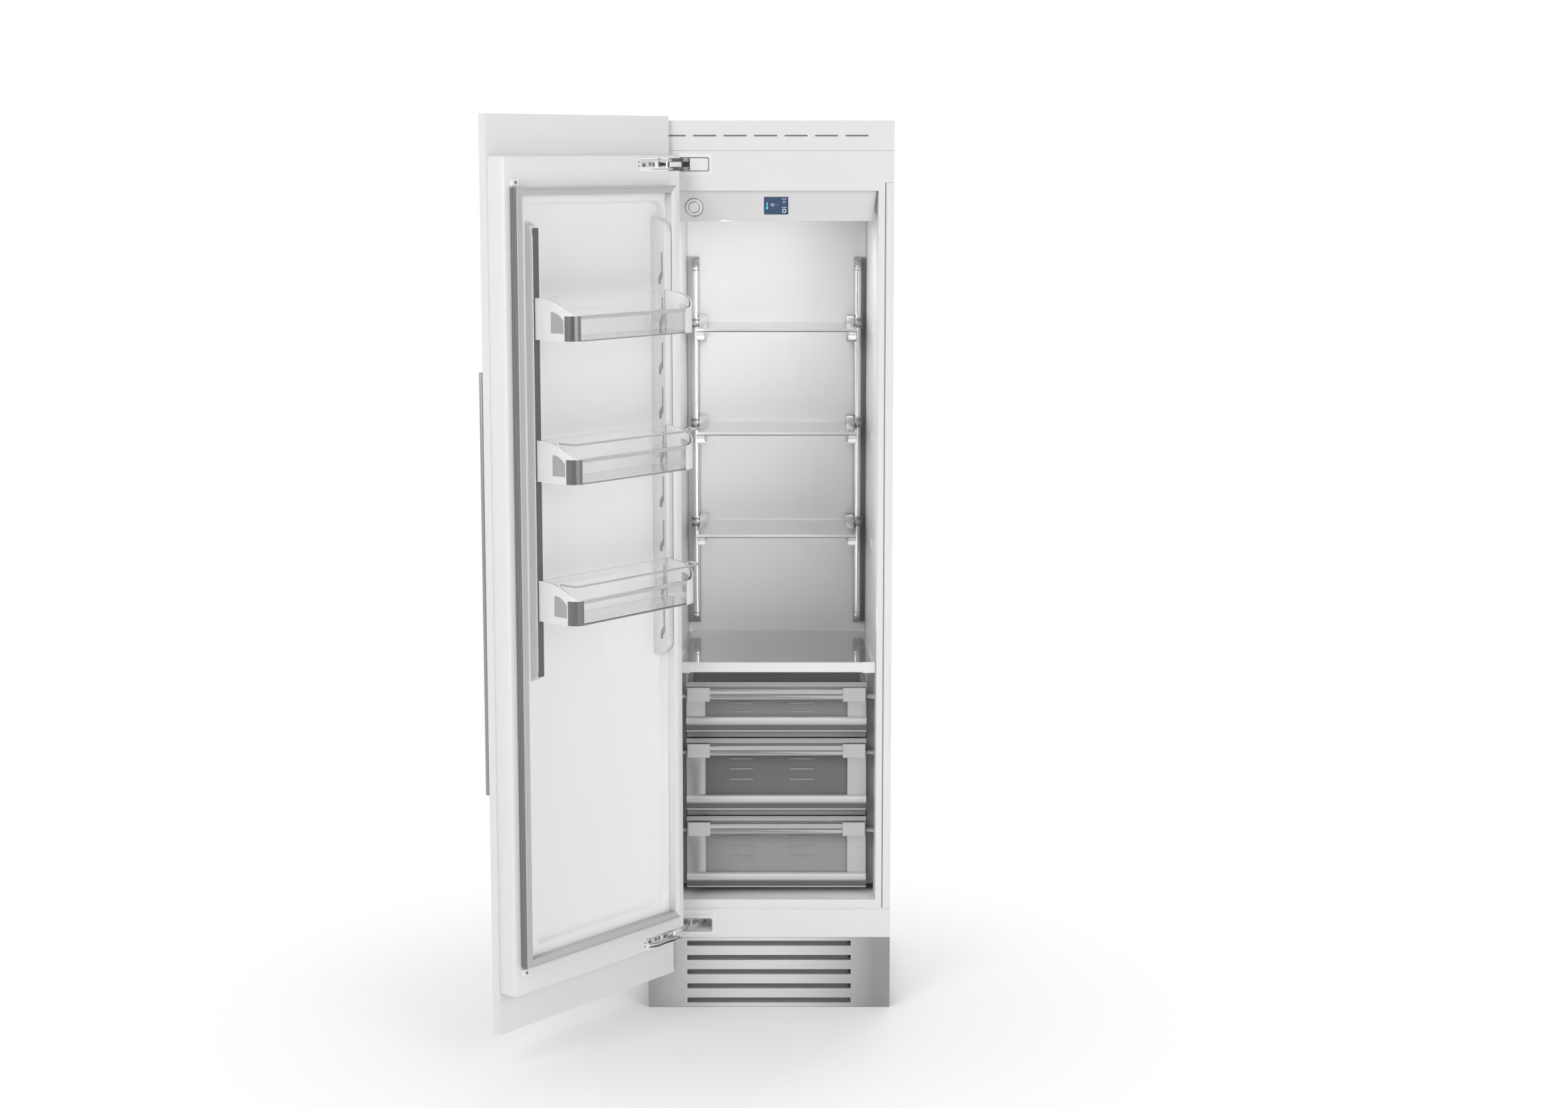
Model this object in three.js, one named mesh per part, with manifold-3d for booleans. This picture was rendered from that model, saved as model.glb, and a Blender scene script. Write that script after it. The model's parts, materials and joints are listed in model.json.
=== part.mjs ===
// A built-in column refrigerator with its door open: a tall cabinet with glass shelves and
// drawers, and a panelled door that hangs on two concealed link hinges.
// Millimetres. X runs to the right, Y to the back and Z up, seen from the front.
// The cabinet is drawn about x = 0, with its front plane at y = 0 and the floor at z = 0.
// The door is drawn closed and then swung open by its groups.
import * as THREE from "three";
import { mergeVertices } from "three/addons/utils/BufferGeometryUtils.js";
import Module from "manifold-3d";

const wasm = await Module();
wasm.setup();

// Clearances
const fitGap = 0.3;
const overrun = 10;
const weldDistance = 0.001;

// Cabinet casing
const cabinetWidth = 597;
const cabinetDepth = 555;
const cabinetHeight = 2175;
const casingSheet = 1.2;
const casingBottom = 45;
const machineDeckHeight = 205;
const frontSkinDepth = 8;
const sideStripWidth = 18.7;
const shadowGap = 2.9;
const rearVentWidth = 420;
const rearVentHeight = 100;

// Front, from the floor up
const toeKickHeight = 178.5;
const lowerFasciaHeight = 72.2;
const lowerFasciaGap = 3;
const sillHeight = 21.7;
const lintelHeight = 20.1;
const headerHeight = 74.8;
const topFasciaHeight = 69.9;

// Compartment
const openingHalf = 243.5;
const compartmentCentre = 18.3;
const linerSheet = 2;
const foamBackThickness = 50;
const linerDepth = cabinetDepth - foamBackThickness;
const linerBackHalf = 227.3;
const ductRoom = 57;
const ductPanelDepth = linerDepth - ductRoom;
const ductPanelSheet = 2;
const ductAirSlot = 14;
const ductSpacerWidth = 12;
const ductMotorDepth = 8;

// Slots in the fascias
const ventSlotLength = 54.5;
const ventSlotHeight = 3.7;
const ventSlotCorner = 1.5;
const ventSlotPitch = 72.1;
const ventSlotCount = 7;
const ventSlotCentre = -6.4;
const ventSlotDrop = 35.3;
const toeSlotLength = 404.4;
const toeSlotHeight = 12.9;
const toeSlotPitch = 36.4;
const toeSlotCount = 5;
const toeSlotDrop = 8.4;
const toeKickSheet = 1.5;
const toeKickClearance = 1;
const toeShelfDepth = 20;

// Drawers
const shallowDrawerHeight = 120;
const deepDrawerHeight = 177;
const drawerGap = 20.5;
const drawerRise = 17;
const drawerHalf = 222;
const drawerFrontDepth = 62;
const drawerFrontSheet = 5;
const drawerPostWidth = 46;
const drawerBandHeight = 34.5;
const drawerBandCrestShare = 0.62;
const drawerBandBulge = 12;
const drawerTopRailHeight = 22;
const drawerTopRailSlope = 10;
const drawerBackGap = 28.7;
const drawerBinWall = 3;
const drawerBinHalf = 215;
const drawerBinRise = 5;
const drawerRimWidth = 10;
const drawerRimThickness = 3;
const drawerRimDrop = 30;
const drawerBinTaper = 4;
const ledgeThickness = 7;
const handleReach = 42;
const handleHeight = 25;
const handleDrop = 9.5;
const handleThickness = 14;
const handleCrease = 2.5;
const handleBlockWidth = 55;
const handleBlockHeight = 34.5;
const handleBlockTaper = 4;
const handleBlockDrop = 4;
const handleBlockWrap = 2;

// Crisper shelf
const crisperRise = 58.4;
const glassThickness = 4;
const crisperFrontDepth = 12;
const crisperTrimHeight = 21.8;
const crisperTrimThickness = 8;
const crisperCapWidth = 32;
const crisperCapLip = 1.5;
const crisperHookDepth = 14;
const crisperSideGap = 1.2;

// Glass shelves on tubular rails
const shelfCount = 3;
const shelfPitchShare = 0.22338;
const lowestShelfShare = 0.25695;
const shelfHalf = 198;
const shelfFrontDepth = 158;
const shelfBackGap = 14;
const shelfBackDepth = ductPanelDepth - shelfBackGap;
const shelfTrimHeight = 8;
const shelfTrimThickness = 6;
const shelfArmWidth = 18.6;
const shelfArmInset = 1.2;
const shelfArmFrontHeight = 10;
const shelfArmBackHeight = 44;
const shelfArmNose = 26;
const shelfArmHorn = 18;
const shelfArmHornDepth = 36;
const shelfClampHeight = 26;
const shelfClampWall = 3.4;
const railTubeRadius = 8.1;
const railTubeBackGap = 42;
const railTubeDepth = ductPanelDepth - railTubeBackGap;
const railTubeHalf = 206.2;
const railRise = 21.6;
const railHeadroom = 173.2;
const railPlateWidth = 31;
const railPlateSheet = 2;
const railPlateSideGap = 0.6;
const railElbowDrop = 33;
const railElbowRadius = 20;
const railCollarHeight = 4;
const railCollarLip = 0.7;

// Control header and display
const headerFaceTopDepth = 14;
const headerFaceBottomDepth = 44;
const headerFaceHeight = 72.6;
const headerEndInset = 4.8;
const headerEndSlant = 8.4;
const headerWall = 3;
const headerReach = 150;
const headerRearHeight = 30;
const displayWidth = 56.8;
const displayHeight = 41;
const displayDrop = 15.2;
const displayGlass = 2.4;
const lampWidth = 300;
const lampDepth = 46;
const lampThickness = 5;
const lampSetBack = 30;

// Hinges: a fixed pin in the cabinet, an arm, and a pin in the door
const hingePocketHeight = 33;
const hingeTopDrop = 102.5;
const hingeTopCentre = cabinetHeight - hingeTopDrop;
const hingeBottomCentre = 211;
const hingeRecessInset = 13.5;
const hingeRecessLength = 145;
const hingeRecessDepth = 56;
const hingeBoxWall = 1.6;
const hingeFlangeWidth = 9;
const hingeFlangeProud = 0.8;
const hingeFlangeLeft = 71;
const hingeCornerRadius = 6;
const fixedPinX = -195;
const fixedPinY = 20;
const doorPinX = -262.2;
const doorPinY = -40.7;
const hingePinRadius = 3;
const hingeEyeRadius = 6.5;
const hingeArmHeight = 12;
const hingeArmWaist = 4.2;
const doorPocketLength = 150;
const doorPocketDepth = 35;
const armOpenTurn = 23;
const doorOpenTurn = 129.8;

// Door
const panelWidth = 594;
const panelThickness = 20;
const panelBottom = 95;
const panelTopRise = 10;
const panelTop = cabinetHeight + panelTopRise;
const doorStandoff = 72;
const bodyThickness = 49;
const bodyInsetFree = 5;
const bodyInsetHinge = 14;
const bodyBottom = 192.5;
const bodyTopDrop = 81;
const bodyTop = cabinetHeight - bodyTopDrop;
const bodyEdgeRadius = 6;
const bodySheet = 1;
const gasketFaceWidth = 18.6;
const gasketHeight = 21.4;
const gasketHingeInset = 50;
const gasketFreeInset = 24.5;
const gasketSillGap = 6.7;
const gasketLintelGap = 4.6;
const gasketWaist = 4.2;
const gasketNeckHeight = 6;
const gasketNeckRise = 7;
const gasketSeat = 9;
const linerLipSheet = 2;
const pocketSideInset = 70.7;
const pocketSillGap = 24.3;
const pocketLintelGap = 19.9;
const pocketDepth = 24;
const pocketCorner = 26;
const doorHandleLength = 967;
const doorHandleBottom = 647;
const doorHandleWidth = 20;
const doorHandleThickness = 12;
const doorHandleReach = 40;
const doorHandleFreeInset = 24.6;
const doorHandlePostInset = 18;
const doorHandlePostRadius = 6;
const doorHandleCorner = 5;

// Door bins and the rails that they hook on
const binRailWidth = 20;
const binRailFront = 70;
const binRailTopGap = 40;
const binRailShare = 0.61213;
const binRailCorner = 34;
const hookPitchShare = 0.101885;
const hookCount = 9;
const hookFirstShare = 0.14867;
const hookSlotWidth = 5;
const hookSlotHeight = 26;
const hookSlotReach = 14;
const hookSlotDepth = 6;
const hookBendShare = 0.55;
const hookBackShare = 0.7;
const hookTipShare = 1.15;
const binCount = 3;
const binTopShare = 0.16191;
const binPitchInHooks = 3;
const binFreeInset = 76.6;
const binLength = 425.4;
const binDepth = 116;
const binBackHeight = 92;
const binFrontHeight = 56;
const binCapSheet = 2;
const binFreeCorner = 25;
const binHingeCorner = 58;
const binShoulderBack = 14;
const binShoulderTop = 80;
const binShoulderFront = 8;
const binWindowBack = 48;
const binWindowFront = 87;
const binWindowFloor = 16;
const binWindowBackTop = 64;
const binWindowFrontTop = 45;
const binWindowCorner = 3;
const trayWall = 2.4;
const trayFloor = 3;
const binBarHeight = 7;
const binBarThickness = 4;
const binPlateHingeInset = 76;
const bailRadius = 1.8;
const bailRootShare = 0.68;
const bailRise = 34;
const bailSeat = 5;
const bailBend = 9;
const bailHingeBend = 40;

// Machine room
const footRadius = 22;
const footPadHeight = 12;
const footNutHeight = 7;
const footStemRadius = 6;
const footInset = 45;
const footFrontInset = 50;
const basePanSheet = 3;
const basePanLip = 14;
const compressorRadius = 72;
const compressorHeight = 132;
const compressorFootShare = 0.7;
const compressorSides = 20;
const compressorX = -150;
const compressorBackGap = 155;
const compressorY = cabinetDepth - compressorBackGap;
const compressorFootThickness = 4;
const compressorFootReach = 92;
const condenserWidth = 190;
const condenserDepth = 110;
const condenserHeight = 130;
const condenserX = 110;
const condenserBackGap = 225;
const condenserY = cabinetDepth - condenserBackGap;
const finCount = 7;
const finSheet = 2;
const coilTubeRadius = 5;
const fanRadius = 55;
const fanHubRadius = 17;
const fanHubLength = 20;
const fanBladeCount = 5;
const fanBladeThickness = 2.4;
const fanBladePitchDegrees = 28;
const fanShaftRadius = 3;
const fanBoreDepth = 14;
const fanMotorRadius = 22;
const fanMotorLength = 26;
const evaporatorWidth = 300;
const evaporatorHeight = 200;
const evaporatorDepth = 42;
const evaporatorShare = 0.43824;
const evaporatorFanShare = 0.68043;

// Heights and depths that follow from the sizes above
const cabinetHalf = cabinetWidth / 2;
const lowerFasciaBottom = toeKickHeight + fitGap;
const lowerFasciaTop = lowerFasciaBottom + lowerFasciaHeight;
const frameBottom = lowerFasciaTop + lowerFasciaGap;
const openingBottom = frameBottom + sillHeight;
const topFasciaBottom = cabinetHeight - topFasciaHeight;
const frameTop = topFasciaBottom - fitGap;
const ringTop = frameTop - headerHeight;
const openingTop = ringTop - lintelHeight;
const openingHeight = openingTop - openingBottom;
const skinBack = frontSkinDepth + fitGap;
const lowDrawerBottom = openingBottom + drawerRise;
const midDrawerBottom = lowDrawerBottom + deepDrawerHeight + drawerGap;
const topDrawerBottom = midDrawerBottom + deepDrawerHeight + drawerGap;
const crisperTop = topDrawerBottom + shallowDrawerHeight + crisperRise;
const shelfRoom = openingTop - crisperTop;
const shelfPitch = shelfRoom * shelfPitchShare;
const lowestShelfTop = crisperTop + shelfRoom * lowestShelfShare;
const railBottom = crisperTop + railRise;
const railTop = openingTop - railHeadroom;
const drawerBinFront = drawerFrontDepth + drawerFrontSheet + fitGap;
const drawerBinBack = ductPanelDepth - drawerBackGap;
const evaporatorBottom = openingBottom + openingHeight * evaporatorShare;
const evaporatorFanCentre = openingBottom + openingHeight * evaporatorFanShare;
const recessLeft = -cabinetHalf + hingeRecessInset;
const recessRight = recessLeft + hingeRecessLength;
const gasketOuterHinge = gasketHingeInset;
const gasketOuterFree = panelWidth - gasketFreeInset;
const gasketBottom = frameBottom + gasketSillGap;
const gasketTop = ringTop - gasketLintelGap;
const pocketFree = panelWidth - pocketSideInset;
const pocketBottom = openingBottom + pocketSillGap;
const pocketTop = openingTop - pocketLintelGap;
const binRailTop = pocketTop - binRailTopGap;
const binRailLength = (pocketTop - pocketBottom) * binRailShare;
const binRailBottom = binRailTop - binRailLength;
const hookPitch = binRailLength * hookPitchShare;
const binFree = panelWidth - binFreeInset;

const ALONG = {
  x: new THREE.Matrix4().makeBasis(
    new THREE.Vector3(0, 1, 0),
    new THREE.Vector3(0, 0, 1),
    new THREE.Vector3(1, 0, 0),
  ),
  y: new THREE.Matrix4().makeBasis(
    new THREE.Vector3(1, 0, 0),
    new THREE.Vector3(0, 0, 1),
    new THREE.Vector3(0, -1, 0),
  ),
  z: new THREE.Matrix4(),
};
const ARC_SEGMENTS = 3;
const ROUND_SEGMENTS = 6;
const ROLL_SHARE = 0.9;

// Half the compartment's width at a depth behind the front plane.
function wallHalf(depth) {
  return openingHalf + ((linerBackHalf - openingHalf) * depth) / linerDepth;
}

// A door point's x and y when the door is closed, from its distance to the panel's hinge
// edge and its height over the panel's inner face.
function doorX(fromHingeEdge) {
  return -panelWidth / 2 + fromHingeEdge;
}
function doorY(overPanel) {
  return -doorStandoff + overPanel;
}

// A closed geometry as a solid that can be joined and cut.
function solidOf(geometry) {
  const bare = geometry.index ? geometry.toNonIndexed() : geometry.clone();
  for (const name of Object.keys(bare.attributes)) {
    if (name !== "position") bare.deleteAttribute(name);
  }
  const merged = mergeVertices(bare, weldDistance);
  return new wasm.Manifold(
    new wasm.Mesh({
      numProp: 3,
      vertProperties: merged.attributes.position.array,
      triVerts: new Uint32Array(merged.index.array),
    }),
  );
}

function join(...solids) {
  return solids.flat().reduce((whole, piece) => whole.add(piece));
}

function cut(solid, ...cutters) {
  return cutters.flat().reduce((left, cutter) => left.subtract(cutter), solid);
}

function block(x0, x1, y0, y1, z0, z1) {
  const geometry = new THREE.BoxGeometry(x1 - x0, y1 - y0, z1 - z0);
  return solidOf(geometry.translate((x0 + x1) / 2, (y0 + y1) / 2, (z0 + z1) / 2));
}

function shapeOf(points) {
  return new THREE.Shape(points.map(([a, b]) => new THREE.Vector2(a, b)));
}

function roundedRect(a0, a1, b0, b1, radius) {
  const shape = new THREE.Shape();
  shape.moveTo(a0 + radius, b0);
  shape.lineTo(a1 - radius, b0);
  shape.absarc(a1 - radius, b0 + radius, radius, -Math.PI / 2, 0);
  shape.lineTo(a1, b1 - radius);
  shape.absarc(a1 - radius, b1 - radius, radius, 0, Math.PI / 2);
  shape.lineTo(a0 + radius, b1);
  shape.absarc(a0 + radius, b1 - radius, radius, Math.PI / 2, Math.PI);
  shape.lineTo(a0, b0 + radius);
  shape.absarc(a0 + radius, b0 + radius, radius, Math.PI, 1.5 * Math.PI);
  return shape;
}

// An outline drawn across an axis and carried along it: across x it is drawn in (y, z),
// across y in (x, z) and across z in (x, y).
function prism(axis, shape, start, end, curveSegments = ARC_SEGMENTS) {
  const depth = end - start;
  const geometry = new THREE.ExtrudeGeometry(shape, {
    depth,
    bevelEnabled: false,
    curveSegments,
  });
  geometry.applyMatrix4(ALONG[axis]);
  if (axis === "x") geometry.translate(start, 0, 0);
  if (axis === "y") geometry.translate(0, end, 0);
  if (axis === "z") geometry.translate(0, 0, start);
  return solidOf(geometry);
}

function rod(axis, a, b, radius, start, end, segments = ROUND_SEGMENTS) {
  const circle = new THREE.Shape();
  circle.absarc(a, b, radius, 0, 2 * Math.PI);
  return prism(axis, circle, start, end, segments);
}

// A closed skin through rings of points, with flat ends.
function loft(rings) {
  const count = rings[0].length;
  const positions = rings.flat(2);
  const faces = [];
  for (let ring = 0; ring + 1 < rings.length; ring += 1) {
    for (let k = 0; k < count; k += 1) {
      const a = ring * count + k;
      const b = ring * count + ((k + 1) % count);
      faces.push(a, b, b + count, a, b + count, a + count);
    }
  }
  const last = (rings.length - 1) * count;
  for (let k = 1; k + 1 < count; k += 1) {
    faces.push(0, k + 1, k, last, last + k, last + k + 1);
  }
  const made = (order) =>
    new wasm.Manifold(
      new wasm.Mesh({
        numProp: 3,
        vertProperties: new Float32Array(positions),
        triVerts: new Uint32Array(order),
      }),
    );
  const solid = made(faces);
  if (solid.volume() > 0) return solid;
  return made(faces.slice().reverse());
}

// A polyline with its inner corners turned into bends, each with its own reach.
function bentPath(points, reaches, steps = 4) {
  const path = [points[0]];
  for (let k = 1; k + 1 < points.length; k += 1) {
    const corner = points[k];
    const toBefore = points[k - 1].clone().sub(corner).setLength(reaches[k - 1]).add(corner);
    const toAfter = points[k + 1].clone().sub(corner).setLength(reaches[k - 1]).add(corner);
    const bend = new THREE.QuadraticBezierCurve3(toBefore, corner, toAfter);
    path.push(...bend.getPoints(steps));
  }
  path.push(points[points.length - 1]);
  return path;
}

// A round tube along a path. Each ring's normal is the last one's, turned with the path.
function tube(path, radius, firstNormal, sides = 2 * ROUND_SEGMENTS) {
  const normal = firstNormal.clone();
  const rings = path.map((point, index) => {
    const before = path[Math.max(index - 1, 0)];
    const after = path[Math.min(index + 1, path.length - 1)];
    const ahead = after.clone().sub(before).normalize();
    normal.addScaledVector(ahead, -normal.dot(ahead)).normalize();
    const side = new THREE.Vector3().crossVectors(ahead, normal);
    return Array.from({ length: sides }, (_, k) => {
      const angle = (2 * Math.PI * k) / sides;
      return point
        .clone()
        .addScaledVector(side, radius * Math.cos(angle))
        .addScaledVector(normal, radius * Math.sin(angle))
        .toArray();
    });
  });
  return loft(rings);
}

function finish(color, roughness, metalness, extra = {}) {
  return new THREE.MeshStandardMaterial({ color, roughness, metalness, ...extra });
}

const materials = {
  white: finish(0xe9e9e9, 0.35, 0.1),
  whitePlastic: finish(0xf2f2f2, 0.5, 0),
  foam: finish(0xe8dfb8, 0.9, 0),
  steel: finish(0xb4b4b4, 0.35, 0.9),
  brightSteel: finish(0xd8d8d8, 0.15, 1),
  darkSteel: finish(0x3c3c3e, 0.6, 0.6),
  duct: finish(0xd2d2d2, 0.4, 0.4),
  glass: finish(0xdfe5e4, 0.05, 0, { transparent: true, opacity: 0.35 }),
  smoked: finish(0x6f6f70, 0.12, 0, { transparent: true, opacity: 0.75 }),
  clear: finish(0xf4f6f6, 0.06, 0, { transparent: true, opacity: 0.4 }),
  display: finish(0x1b4468, 0.1, 0),
  gasket: finish(0xb2b2b2, 0.7, 0),
  galvanised: finish(0x9c9fa2, 0.45, 0.8),
  copper: finish(0xb8724a, 0.35, 0.9),
  lamp: finish(0xffffff, 0.3, 0, { emissive: 0xffffff, emissiveIntensity: 0.6 }),
  black: finish(0x1d1d1f, 0.5, 0.2),
};

function mesh(parent, name, solid, material) {
  const { numProp, vertProperties, triVerts } = solid.getMesh();
  const positions = new Float32Array((vertProperties.length / numProp) * 3);
  for (let vertex = 0; vertex * numProp < vertProperties.length; vertex += 1) {
    const start = vertex * numProp;
    positions.set(vertProperties.subarray(start, start + 3), vertex * 3);
  }
  const geometry = new THREE.BufferGeometry();
  geometry.setAttribute("position", new THREE.BufferAttribute(positions, 3));
  geometry.setIndex(new THREE.BufferAttribute(triVerts, 1));
  const faceted = geometry.toNonIndexed();
  faceted.computeVertexNormals();
  const made = new THREE.Mesh(faceted, material);
  made.name = name;
  parent.add(made);
}

// The compartment's plan at a given offset outside its walls, from one depth to another.
function compartmentPlan(offset, front, back) {
  const c = compartmentCentre;
  return shapeOf([
    [c - wallHalf(front) - offset, front],
    [c + wallHalf(front) + offset, front],
    [c + wallHalf(back) + offset, back],
    [c - wallHalf(back) - offset, back],
  ]);
}

function hingeRecessCutter(centre, gap) {
  const half = hingePocketHeight / 2 + gap;
  return block(
    recessLeft - gap,
    recessRight + gap,
    -overrun,
    hingeRecessDepth + gap,
    centre - half,
    centre + half,
  );
}

const hingeCentres = { top: hingeTopCentre, bottom: hingeBottomCentre };

function hingeCuts(gap) {
  return Object.values(hingeCentres).map((centre) => hingeRecessCutter(centre, gap));
}

function addCasing(cabinet) {
  const inner = cabinetHalf - casingSheet;
  const back = cabinetDepth - casingSheet;
  const body = block(
    -cabinetHalf,
    cabinetHalf,
    0,
    cabinetDepth,
    casingBottom,
    cabinetHeight,
  );
  const foamRoom = block(
    -inner,
    inner,
    casingSheet,
    back,
    machineDeckHeight + casingSheet,
    frameTop - casingSheet,
  );
  const mouthHalf = cabinetHalf - sideStripWidth;
  const mouth = block(
    -mouthHalf,
    mouthHalf,
    -overrun,
    skinBack,
    frameBottom,
    ringTop,
  );
  const machineRoom = block(
    -inner,
    inner,
    -overrun,
    back,
    -overrun,
    machineDeckHeight,
  );
  const topRoom = block(
    -inner,
    inner,
    -overrun,
    back,
    frameTop,
    cabinetHeight - casingSheet,
  );
  const lowerFront = block(
    -cabinetHalf - overrun,
    cabinetHalf + overrun,
    -overrun,
    skinBack,
    casingBottom - overrun,
    frameBottom,
  );
  const upperFront = block(
    -cabinetHalf - overrun,
    cabinetHalf + overrun,
    -overrun,
    skinBack,
    ringTop - fitGap,
    cabinetHeight + overrun,
  );
  const rearVent = block(
    -rearVentWidth / 2,
    rearVentWidth / 2,
    back - overrun,
    cabinetDepth + overrun,
    machineDeckHeight - overrun - rearVentHeight,
    machineDeckHeight - overrun,
  );
  const shell = cut(
    body,
    foamRoom,
    mouth,
    machineRoom,
    topRoom,
    lowerFront,
    upperFront,
    rearVent,
    hingeCuts(fitGap),
  );
  mesh(cabinet, "cabinet_shell", shell, materials.white);
}

function addFoam(cabinet) {
  const inner = cabinetHalf - casingSheet - fitGap;
  const core = block(
    -inner,
    inner,
    skinBack,
    cabinetDepth - casingSheet - fitGap,
    machineDeckHeight + casingSheet + fitGap,
    frameTop - casingSheet - fitGap,
  );
  const room = prism(
    "z",
    compartmentPlan(linerSheet + fitGap, -overrun, linerDepth + linerSheet + fitGap),
    openingBottom - linerSheet - fitGap,
    openingTop + linerSheet + fitGap,
  );
  mesh(cabinet, "foam_insulation", cut(core, room, hingeCuts(fitGap)), materials.foam);
}

const drawers = [
  { bottom: topDrawerBottom, height: shallowDrawerHeight },
  { bottom: midDrawerBottom, height: deepDrawerHeight },
  { bottom: lowDrawerBottom, height: deepDrawerHeight },
];

function rimBottom(drawer) {
  return drawer.bottom + drawer.height - drawerRimDrop - drawerRimThickness;
}

function addLiner(cabinet) {
  const outside = prism(
    "z",
    compartmentPlan(linerSheet, skinBack, linerDepth + linerSheet),
    openingBottom - linerSheet,
    openingTop + linerSheet,
  );
  const inside = prism(
    "z",
    compartmentPlan(0, -overrun, linerDepth),
    openingBottom,
    openingTop,
  );
  const shell = cut(outside, inside);
  const ledgeBack = drawerBinBack - drawerFrontSheet;
  const ledges = drawers.flatMap((drawer) =>
    [-1, 1].map((side) => {
      const c = compartmentCentre;
      const innerEdge = c + side * (drawerBinHalf + fitGap * 2);
      const ledge = shapeOf([
        [c + side * (wallHalf(drawerFrontDepth) + linerSheet / 2), drawerFrontDepth],
        [innerEdge, drawerFrontDepth + drawerRimWidth],
        [innerEdge, ledgeBack],
        [c + side * (wallHalf(ledgeBack) + linerSheet / 2), ledgeBack],
      ]);
      const top = rimBottom(drawer) - fitGap;
      return prism("z", ledge, top - ledgeThickness, top);
    }),
  );
  const glassLedges = [-1, 1].map((side) => {
    const c = compartmentCentre;
    const front = crisperFrontDepth + crisperTrimThickness + crisperHookDepth;
    const ledge = shapeOf([
      [c + side * (wallHalf(front) + linerSheet / 2), front],
      [c + side * (wallHalf(front) - drawerRimWidth), front + drawerRimWidth],
      [c + side * (wallHalf(ductPanelDepth) - drawerRimWidth), ductPanelDepth - overrun],
      [c + side * (wallHalf(ductPanelDepth) + linerSheet / 2), ductPanelDepth - overrun],
    ]);
    const top = crisperTop - glassThickness - fitGap;
    return prism("z", ledge, top - ledgeThickness, top);
  });
  mesh(cabinet, "inner_liner", join(shell, ledges, glassLedges), materials.whitePlastic);
}

function fanShaft(x, z, y, length) {
  return rod("y", x, z, fanShaftRadius, y, y + length);
}

function addDuctPanel(cabinet) {
  const c = compartmentCentre;
  const half = wallHalf(ductPanelDepth + ductPanelSheet) - 2 * fitGap;
  const bottom = openingBottom + ductAirSlot;
  const top = openingTop - ductAirSlot;
  const back = ductPanelDepth + ductPanelSheet;
  const sheet = block(c - half, c + half, ductPanelDepth, back, bottom, top);
  const spacerBack = linerDepth - fitGap;
  const spacers = [-1, 1].map((side) => {
    const x = c + side * (wallHalf(linerDepth) - ductSpacerWidth);
    const left = x - ductSpacerWidth / 2;
    const right = x + ductSpacerWidth / 2;
    return block(left, right, back - ductPanelSheet / 2, spacerBack, bottom, top);
  });
  const fanZ = evaporatorFanCentre;
  const motorBack = back + ductMotorDepth;
  const motor = rod("y", c, fanZ, fanMotorRadius, back - ductPanelSheet / 2, motorBack);
  const shaft = fanShaft(c, fanZ, back, ductMotorDepth + fanBoreDepth);
  mesh(cabinet, "rear_duct_panel", join(sheet, spacers, motor, shaft), materials.duct);
}

function addTopFascia(cabinet) {
  const plate = block(
    -cabinetHalf,
    cabinetHalf,
    0,
    frontSkinDepth,
    topFasciaBottom,
    cabinetHeight,
  );
  const top = cabinetHeight - ventSlotDrop + ventSlotHeight / 2;
  const firstX = ventSlotCentre - (ventSlotPitch * (ventSlotCount - 1)) / 2;
  const slots = Array.from({ length: ventSlotCount }, (_, k) => {
    const x = firstX + k * ventSlotPitch;
    const half = ventSlotLength / 2;
    const shape = roundedRect(
      x - half,
      x + half,
      top - ventSlotHeight,
      top,
      ventSlotCorner,
    );
    return prism("y", shape, -overrun, frontSkinDepth + overrun, 2);
  });
  mesh(cabinet, "top_fascia", cut(plate, slots), materials.white);
}

function addLowerFascia(cabinet) {
  const plate = block(
    -cabinetHalf,
    cabinetHalf,
    0,
    frontSkinDepth,
    lowerFasciaBottom,
    lowerFasciaTop,
  );
  const fascia = cut(plate, hingeRecessCutter(hingeBottomCentre, fitGap));
  mesh(cabinet, "lower_fascia", fascia, materials.white);
}

function addFrontFrame(cabinet) {
  const c = compartmentCentre;
  const ringHalf = cabinetHalf - sideStripWidth - shadowGap;
  const header = block(-cabinetHalf, cabinetHalf, 0, frontSkinDepth, ringTop, frameTop);
  const ring = block(-ringHalf, ringHalf, 0, frontSkinDepth, frameBottom, ringTop);
  const opening = block(
    c - openingHalf,
    c + openingHalf,
    -overrun,
    frontSkinDepth + overrun,
    openingBottom,
    openingTop,
  );
  const frame = cut(join(header, ring), opening, hingeRecessCutter(hingeTopCentre, fitGap));
  mesh(cabinet, "front_frame", frame, materials.white);
}

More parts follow.
